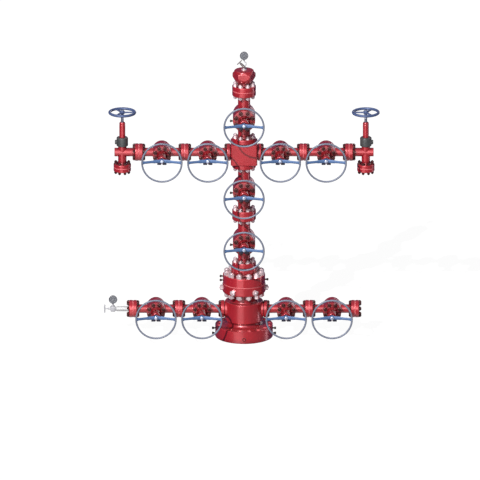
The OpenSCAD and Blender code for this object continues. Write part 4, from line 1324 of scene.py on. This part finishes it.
@dataclass
class CasingGaugeGroup:
    """Nipple, needle valve and T handle at the left end of the casing arm."""

    nipple: str = "casing_nipple"
    valve: str = "casing_needle_valve"
    handle: str = "casing_needle_handle"
    body: str = "casing_needle_knob"
    block_depth: float = 0.05
    bonnet_l: float = 0.03
    bonnet_r: float = 0.012
    stem_r: float = 0.006
    stem_in: float = 0.005
    bar_r: float = 0.008
    stub_r: float = 0.009
    corner: float = 0.012

    def bonnet(self) -> Shape:
        """The valve's small bonnet with the bore for its stem, along +Z."""
        neck_r, bore, end = self.bonnet_r - 0.002, self.stem_r + 0.0006, self.bonnet_l
        return Shape.turned([
            (0, -0.002), (self.bonnet_r, -0.002), (self.bonnet_r, end * 0.6, 0.001),
            (neck_r, end * 0.64, 0.0005), (neck_r, end, 0.001), (bore, end), (bore, end - 0.006),
            (0, end - 0.006),
        ], 32)

    def build(self) -> None:
        """Makes the nipple, the valve's block with its bonnet and stub, and the handle."""
        low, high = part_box(self.nipple)
        radius, middle = (high.z - low.z) / 2, centre(self.nipple).z
        start, length = low.x, high.x - low.x
        pipe = Shape.turned([
            (0, 0), (radius, 0), (radius, length - 0.012, 0.004), (radius * 0.62, length, 0.003), (0, length),
        ])
        pipe.put(at(high.x, 0, middle, TO_LEFT)).piece("casing_nipple_pipe", WHITE_PIPE, TREE, self.nipple)

        low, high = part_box(self.valve)
        width = 2 * (middle - low.z)
        place, gland = at(start - width / 2, 0, middle), start - width
        valve = Shape.block((width, self.block_depth, width), 0.0018, self.corner).put(place)
        valve.add(self.bonnet(), at(gland, 0, middle, TO_LEFT))
        valve.add(Shape.rod(self.stub_r, 0, high.z - middle, 24), place)
        valve.piece("casing_needle_block", PALE_ALLOY, TREE, self.valve)

        low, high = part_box(self.handle)
        bar_x, half = low.x + self.bar_r, (high.z - low.z) / 2
        stem_x = gland - self.bonnet_l + self.stem_in
        handle = Shape.bar([(stem_x, 0, middle), (bar_x, 0, middle)], self.stem_r)
        ends = [(bar_x, 0, middle + side.sign * half) for side in Side]
        handle.add(Shape.bar(ends, self.bar_r, 18, self.bar_r * 0.5))
        handle.piece("casing_needle_bar", PALE_ALLOY, self.body, self.handle)


@dataclass
class CapNeedleGroup:
    """Riser, needle valve tilted up to the left, and the curled pipe that carries the cap's gauge."""

    valve: str = "cap_needle_valve"
    handle: str = "cap_needle_handle"
    body: str = "cap_needle_knob"
    ball_r: float = 0.017
    ball_steps: int = 16
    riser_r: float = 0.0102
    bonnet_r: float = 0.0145
    bonnet_l: float = 0.044
    stem_l: float = 0.012
    stem_r: float = 0.006
    stem_in: float = 0.005
    bar_r: float = 0.006
    bar_l: float = 0.078
    bar_end: float = 0.003
    pipe_r: float = 0.006
    bulge: float = 0.024
    tilt: float = math.radians(-45)
    riser_l: float = 0.036
    root: float = 0.016

    def pipe(self, length: float) -> Shape:
        """The curled pipe, from the ball to the gauge's socket.

        Args:
            length: Height that it climbs.

        Returns:
            The pipe.
        """
        start, end = Vector((0.004, 0, 0.004)), Vector((0, 0, length))
        bend = Vector((self.bulge, 0, length * 0.52))
        lean, rise, straight = Vector((0.016, 0, 0.006)), Vector((0, 0, 0.016)), Vector((0, 0, length * 0.34))
        path = interpolate_bezier(start, start + lean, bend - rise, bend, 9)
        path += interpolate_bezier(bend, bend + rise, end - straight, end, 11)[1:]
        return Shape.bar(path, self.pipe_r, 16)

    def ball(self) -> Shape:
        """The ball that the valve, the riser and the pipe meet in.

        Returns:
            The ball.
        """
        angles = (math.pi * i / self.ball_steps for i in range(1, self.ball_steps))
        arc = [(self.ball_r * math.sin(angle), -self.ball_r * math.cos(angle)) for angle in angles]
        return Shape.turned([(0, -self.ball_r), *arc, (0, self.ball_r)], 32)

    def bonnet(self, end: float) -> Shape:
        """The valve's bonnet with the bore for its stem, along +Z up to its end."""
        neck_r, bore = self.bonnet_r - 0.003, self.stem_r + 0.0006
        return Shape.turned([
            (0, 0), (self.bonnet_r, 0), (self.bonnet_r, end - 0.012, 0.001), (neck_r, end - 0.01),
            (neck_r, end, 0.001), (bore, end), (bore, end - 0.006), (0, end - 0.006),
        ], 32)

    def build(self) -> None:
        """Makes the riser, ball, bonnet, pipe and handle."""
        low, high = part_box(self.valve)
        middle = at(0, 0, low.z + self.root + self.riser_l)
        ball_z = middle.translation.z
        tilted = middle @ Matrix.Rotation(self.tilt, 4, "Y")
        Shape.rod(self.riser_r, low.z, ball_z, 6).piece("cap_riser", WHITE_PIPE)
        end = self.ball_r + self.bonnet_l
        valve = self.ball().put(middle).add(self.bonnet(end), tilted)
        valve.piece("cap_needle_casting", NEEDLE_GREY, TREE, self.valve)
        self.pipe(high.z - ball_z).put(middle).piece("cap_gauge_pipe", PALE_ALLOY)

        bar_z = end + self.stem_l
        handle = Shape.bar([(0, 0, end - self.stem_in), (0, 0, bar_z)], self.stem_r).put(tilted)
        ends = [(side.sign * self.bar_l / 2, 0, bar_z) for side in Side]
        handle.add(Shape.bar(ends, self.bar_r, 16, self.bar_end), tilted)
        handle.piece("cap_needle_bar", NEEDLE_GREY, self.body, self.handle)


@dataclass
class CapNut:
    """Bonnet nut that closes the top of the tree."""

    node: str = "tree_cap_nut"
    foot_r: float = 0.095
    taper_h: float = 0.064
    side_h: float = 0.042
    cone_h: float = 0.032
    cone_steps: int = 12
    swell: float = 0.005
    boss_r: float = 0.031
    pipe_r: float = 0.0102
    ridge: float = 0.0015
    crown_inset: float = 0.002

    def casting(self, radius: float, top: float) -> Shape:
        """A turned blank with a cone at either end, milled to six flats, the front one facing forwards.

        Args:
            radius: Distance from the axis to a ridge.
            top: Height of the crown.

        Returns:
            The nut.
        """
        side = self.taper_h + self.side_h
        slope = (radius - self.foot_r) / self.taper_h
        zs = [self.taper_h * i / self.cone_steps for i in range(1, self.cone_steps + 1)]
        crown_r = radius * COS_30 - self.crown_inset
        shape = Shape.turned([
            (0, 0), (self.foot_r, 0, 0.003), *((self.foot_r + slope * z, z) for z in zs),
            (radius, side - 0.012), (radius - 0.002, side - 0.006), (radius - 0.006, side),
            (crown_r, side + 0.01), (crown_r - 0.001, top - 0.008, 0.004), (crown_r - 0.012, top, 0.004),
            (self.boss_r + 0.004, top, 0.002), (self.boss_r, top + 0.001), (0, top + 0.001),
        ], 96)
        sixth = math.tau / 6
        for vert in shape.bm.verts:
            off = (math.atan2(vert.co.y, vert.co.x) % sixth) - sixth / 2
            reach = min(radius * COS_30 / math.cos(off), radius - self.ridge)
            spread = vert.co.xy.length
            if spread > reach:
                vert.co.xy *= reach / spread
        return shape

    def build(self) -> None:
        """Makes the nut and the bright boss on top."""
        low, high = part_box(self.node)
        place, end = at(0, 0, low.z), high.z - low.z
        top = self.taper_h + self.side_h + self.cone_h
        nut = self.casting((high.x - low.x) / 2 + self.swell, top)
        nut.put(place).piece("cap_nut_casting", RED_CASTING, TREE, self.node)
        boss = Shape.turned([
            (0, top - 0.002), (self.boss_r, top - 0.002), (self.boss_r - 0.001, end, 0.002),
            (self.pipe_r, end, 0.001), (self.pipe_r, top), (0, top),
        ], 48)
        boss.put(place).piece("cap_boss", PALE_REFLECTING_NUT)


@dataclass
class BaseHoles:
    """Walls of the stud holes in the base flange, in the pale highlight paint: a painted highlight on the
    holes' far walls.
    """

    holes: StudPattern = StudPattern(0.5652, 16, 0.0478)
    low: float = 0.004
    high: float = 0.1395
    wall: float = 0.0012
    gap: float = 0.0003

    def build(self) -> None:
        """Lines every hole."""
        outer = self.holes.stud_d / 2 - self.gap
        inner, low, high = outer - self.wall, self.low, self.high
        lining = Shape.turned([(inner, low), (outer, low), (outer, high), (inner, high)], 24)
        # Painted highlight: the pale walls stand in for light caught inside the holes.
        lining.put(*self.holes.spots()).piece("base_hole_walls", PALE_HIGHLIGHT_PAINT)


@dataclass
class LockdownScrews:
    """Glands and screws around the tubing head's top flange."""

    node: str = "lockdown_screws"
    count: int = 6
    across_flats: float = 0.056
    gland_h: float = 0.03
    screw_d: float = 0.026
    proud: float = 0.008

    def build(self) -> None:
        """Makes all of them as one piece."""
        _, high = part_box(self.node)
        z, seat = centre(self.node).z, high.x - self.gland_h - self.proud
        screw = Shape.nut(self.across_flats, self.gland_h, self.screw_d, self.proud)
        places = [at(0, 0, z, turn) @ at(seat, 0, 0, TO_RIGHT) for turn in around(self.count)]
        screw.put(*places).piece("lockdown_glands", PALE_REFLECTING_NUT, TREE, self.node)


@dataclass
class Fittings:
    """Injection, grease and test fittings, and the test port's plug."""

    node: str = "grease_and_test_fittings"
    foot: float = -0.006
    shank_r: float = 0.0085
    head_r: float = 0.0145
    head_l: float = 0.02
    length: float = 0.038
    bonnet_drop: float = 0.02
    bonnet_y: float = -0.118
    bonnet_r: float = 0.127
    base_zs: tuple[float, ...] = (0.03, 0.09)
    port_z: float = 0.052
    port_r: float = 0.021
    plug_h: float = 0.007
    flange_r: float = 0.239
    left_zs: tuple[float, ...] = (0.028, 0.076)
    right_zs: tuple[float, ...] = (0.037,)

    def fitting(self) -> Shape:
        """One fitting along +Z from its seat."""
        neck, end = self.length - self.head_l, self.length
        return Shape.turned([
            (0, self.foot), (self.shank_r, self.foot), (self.shank_r, neck - 0.003),
            (self.head_r - 0.002, neck, 0.001), (self.head_r, neck + 0.002, 0.0015),
            (self.head_r, end - 0.003, 0.002), (self.head_r - 0.004, end, 0.001), (0, end),
        ], 24)

    def places(self) -> list[Matrix]:
        """Seats of the fittings on the bottom flange, the adapter's flange and the bonnets.

        Returns:
            The seats.
        """
        base_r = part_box(self.node)[1].x - self.length
        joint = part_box("tubing_head_adapter")[0].z
        seats = []
        for side, zs in ((Side.RIGHT, self.right_zs), (Side.LEFT, self.left_zs)):
            seats += [at(side.sign * base_r, 0, z, side.outwards) for z in self.base_zs]
            seats += [at(side.sign * self.flange_r, 0, joint + z, side.outwards) for z in zs]
        reach = math.sqrt(self.bonnet_r ** 2 - (self.bonnet_drop + self.shank_r) ** 2)
        heights = (centre(f"{valve}_body").z - self.bonnet_drop for valve in MAIN_VALVES)
        return seats + [at(-reach, self.bonnet_y, z, TO_LEFT) for z in heights]

    def build(self) -> None:
        """Makes the fittings and the plug."""
        low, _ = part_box(self.node)
        port = at(0, low.y + self.plug_h, self.port_z, FORWARDS)
        ring_r, ring_h = self.head_r + 0.001, self.plug_h - 0.003
        ring = Shape.turned([
            (ring_r, self.foot), (self.port_r, self.foot), (self.port_r, ring_h, 0.001), (ring_r, ring_h),
        ], 36)
        heads = self.fitting().put(*self.places()).add(ring, port)
        heads.piece("fitting_heads", DARK_STEEL, TREE, self.node)
        socket_r, socket_z = self.head_r * 0.45, self.plug_h - 0.005
        plug = Shape.turned([
            (0, self.foot), (self.head_r, self.foot), (self.head_r, self.plug_h, 0.002),
            (socket_r, self.plug_h, 0.001), (socket_r, socket_z), (0, socket_z),
        ], 24)
        plug.put(port).piece("front_port_plug", RED_MACHINED)


@dataclass(frozen=True)
class Card:
    """Card that hangs round the object; its bearings are in degrees, from the front towards the right."""

    name: str
    colour: Colour
    start: float
    end: float
    low: float = -9.0
    high: float = 9.0


@dataclass(frozen=True)
class Lamp:
    """Sun that shines along its aim; its spread in the sky is in degrees."""

    name: str
    aim: Triple
    energy: float
    spread: float
    shadow: bool


@dataclass
class Studio:
    """Pale floor, white surroundings, reflection cards, suns and the camera of the photograph."""

    pixel: float = 0.01135
    image: int = 480
    axis_pixel: float = 244.05
    ground_row: float = 335.4
    elevation: float = math.radians(17.8)
    distance: float = 14.0
    view_end: float = 100.0
    floor_size: float = 40.0
    floor_grey: float = 0.4
    shadow_grey: float = 0.1
    floor_glow: float = 0.955
    card_r: float = 8.0
    card_steps: int = 24
    cards: tuple[Card, ...] = (
        Card("left_card", (0.16, 0.14, 0.18), -60, -40),
        Card("glare_card", (1.4, 1.35, 1.4), -40, -4, high=0.9),
        Card("front_card", (0.25, 0.24, 0.25), -4, 16, high=0.9),
        Card("softbox_card", (3.4, 3.3, 3.4), -40, 16, 0.9, 4.6),
        Card("upper_card", (1.5, 1.45, 1.55), -40, 16, low=4.6),
        Card("right_card", (0.28, 0.24, 0.28), 16, 97),
        Card("strip_card", (3.0, 2.8, 3.1), 97, 104.5),
        Card("back_card", (0.08, 0.05, 0.12), 104.5, 300),
    )
    lids: tuple[tuple[str, Colour, float], ...] = (
        ("top_card", (0.3, 0.25, 0.38), 9.0), ("bottom_card", (0.6, 0.6, 0.62), -9.0),
    )
    lamps: tuple[Lamp, ...] = (
        Lamp("key", (0.365, 0.73, -0.578), 4.9, 0.6, True),
        Lamp("fill", (0.03, 0.952, -0.306), 0.3, 24, False),
        Lamp("back_fill", (-0.4, -0.9, -0.15), 1.4, 24, False),
    )

    def camera(self) -> None:
        """Places the parallel camera so that a metre covers as many pixels as in the photograph."""
        rise = (self.ground_row - self.image / 2) * self.pixel / math.cos(self.elevation)
        aim = Vector(((self.image / 2 - self.axis_pixel) * self.pixel, 0, rise))
        back = Vector((0, -math.cos(self.elevation), math.sin(self.elevation)))
        data = bpy.data.cameras.new("camera")
        data.type = "ORTHO"
        data.ortho_scale = self.image * self.pixel
        data.clip_end = self.view_end
        made = placed("camera", data)
        made.location = aim + back * self.distance
        made.rotation_euler = (-back).to_track_quat("-Z", "Y").to_euler()
        bpy.context.scene.camera = made

    def floor(self) -> None:
        """Lays the pale floor, which the camera sees nearly white while it stays darker to all other rays."""
        bm = bmesh.new()
        bmesh.ops.create_grid(bm, x_segments=1, y_segments=1, size=self.floor_size)
        paint, bench = painted("pale_floor")
        matt, shadowed = (
            bench.node("ShaderNodeBsdfDiffuse", inputs={"Color": (grey, grey, grey, 1.0)})
            for grey in (self.floor_grey, self.shadow_grey)
        )
        glow = bench.node("ShaderNodeEmission", inputs={"Color": WHITE, "Strength": self.floor_glow})
        seen = bench.node("ShaderNodeAddShader", inputs={0: shadowed, 1: glow})
        camera = bench.node("ShaderNodeLightPath", output="Is Camera Ray")
        bench.end(bench.node("ShaderNodeMixShader", inputs={0: camera, 1: matt, 2: seen}))
        self.prop("floor", bm, paint).visible_glossy = False

    def prop(self, name: str, bm: bmesh.types.BMesh, paint: bpy.types.Material) -> bpy.types.Object:
        """Makes a piece of the studio, which is no part of the object.

        Args:
            name: Its name.
            bm: Its mesh, which is freed.
            paint: Its material.

        Returns:
            The piece.
        """
        mesh = bpy.data.meshes.new(name)
        bm.to_mesh(mesh)
        bm.free()
        mesh.materials.append(paint)
        made = placed(name, mesh)
        return made

    def hang(self, name: str, bm: bmesh.types.BMesh, colour: Colour) -> None:
        """Makes a card of a mesh; it shows in reflections only.

        Args:
            name: Name of the card.
            bm: Its mesh, which is freed.
            colour: Its brightness and tint.
        """
        paint, bench = painted(name)
        bench.end(bench.node("ShaderNodeEmission", inputs={"Color": (*colour, 1.0), "Strength": 1.0}))
        paint.cycles.emission_sampling = "NONE"
        made = self.prop(name, bm, paint)
        for rays in ("camera", "diffuse", "shadow", "transmission"):
            setattr(made, f"visible_{rays}", False)

    def surround(self) -> None:
        """Hangs the upright cards, and closes them off with a level one above and below."""
        for card in self.cards:
            bm = bmesh.new()
            bearing = math.radians(card.start)
            foot = Vector((math.sin(bearing), -math.cos(bearing), 0)) * self.card_r
            verts = [bm.verts.new(foot + Vector((0, 0, z))) for z in (card.low, card.high)]
            bmesh.ops.spin(
                bm, geom=[*verts, bm.edges.new(verts)], cent=(0, 0, 0), axis=(0, 0, 1),
                angle=math.radians(card.end - card.start), steps=self.card_steps,
            )
            self.hang(card.name, bm, card.colour)
        for name, colour, z in self.lids:
            bm = bmesh.new()
            bmesh.ops.create_circle(
                bm, cap_ends=True, radius=self.card_r, segments=2 * self.card_steps, matrix=at(0, 0, z),
            )
            self.hang(name, bm, colour)

    def world(self) -> None:
        """Surrounds the object with white for the camera, metal and glass, and with soft light otherwise."""
        world = bpy.data.worlds.new("studio")
        world.use_nodes = True
        bpy.context.scene.world = world
        bench = Bench(world.node_tree)
        rays = ("Camera", "Glossy", "Transmission")
        camera, glossy, through = (bench.node("ShaderNodeLightPath", output=f"Is {ray} Ray") for ray in rays)
        white = bench.math(Operation.MAXIMUM, bench.math(Operation.MAXIMUM, camera, glossy), through)
        soft = bench.node("ShaderNodeBackground", inputs={"Color": SKYLIGHT, "Strength": 0.1})
        pale = bench.node("ShaderNodeBackground", inputs={"Color": WHITE, "Strength": 1.0})
        mixed = bench.node("ShaderNodeMixShader", inputs={0: white, 1: soft, 2: pale})
        bench.end(mixed, "ShaderNodeOutputWorld")

    def light(self) -> None:
        """Adds the suns."""
        for lamp in self.lamps:
            data = bpy.data.lights.new(lamp.name, "SUN")
            data.energy = lamp.energy
            data.angle = math.radians(lamp.spread)
            data.use_shadow = lamp.shadow
            aim = Vector(lamp.aim).normalized()
            placed(lamp.name, data).rotation_euler = aim.to_track_quat("-Z", "Y").to_euler()

    def build(self) -> None:
        """Sets up the whole studio."""
        self.camera()
        self.floor()
        self.world()
        self.light()
        self.surround()
        bpy.context.scene.view_settings.view_transform = "Standard"


def dress(node: str, finish: Finish) -> None:
    """Gives a solid its finish.

    Args:
        node: The solid.
        finish: Its finish.
    """
    materials = bpy.data.objects[node].data.materials
    materials.clear()
    materials.append(finish.material())
    log.info("%s: dressed in %s", node, finish.name)


def main() -> None:
    """Builds and dresses the sub-assemblies in order."""
    logging.basicConfig(level=logging.INFO, format="%(name)s: %(message)s")
    for nodes, finish in ((CAST_NODES, RED_CASTING), (MACHINED_NODES, RED_MACHINED)):
        for node in nodes:
            dress(node, finish)
    Bolting().build()
    for valve in MAIN_VALVES:
        name, bodies = f"{valve}_bonnet", [f"{valve}_body"]
        Bonnets(name, name, bodies, 0.044, 0.048, MAIN_BONNET_STUDS, barrel_l=0.056).build()
        GateHandwheel(valve).build()
    for arm in (arm.value for arm in Arm):
        bodies = [f"{arm}_{valve}_body" for valve in ARM_VALVES]
        Bonnets(f"{arm}_bonnet", f"{arm}_bonnets", bodies, 0.038, 0.04, WING_BONNET_STUDS).build()
        for valve in ARM_VALVES:
            GateHandwheel(f"{arm}_{valve}").build()
    ChokeHeads().build()
    for side in Side:
        ChokeHandwheel(side).build()
    for gauge in ("casing_gauge", "cap_gauge"):
        Gauge(gauge).build()
    for assembly in (CasingGaugeGroup, CapNeedleGroup, CapNut, BaseHoles, LockdownScrews, Fittings, Studio):
        assembly().build()


if __name__ == "__main__":
    main()
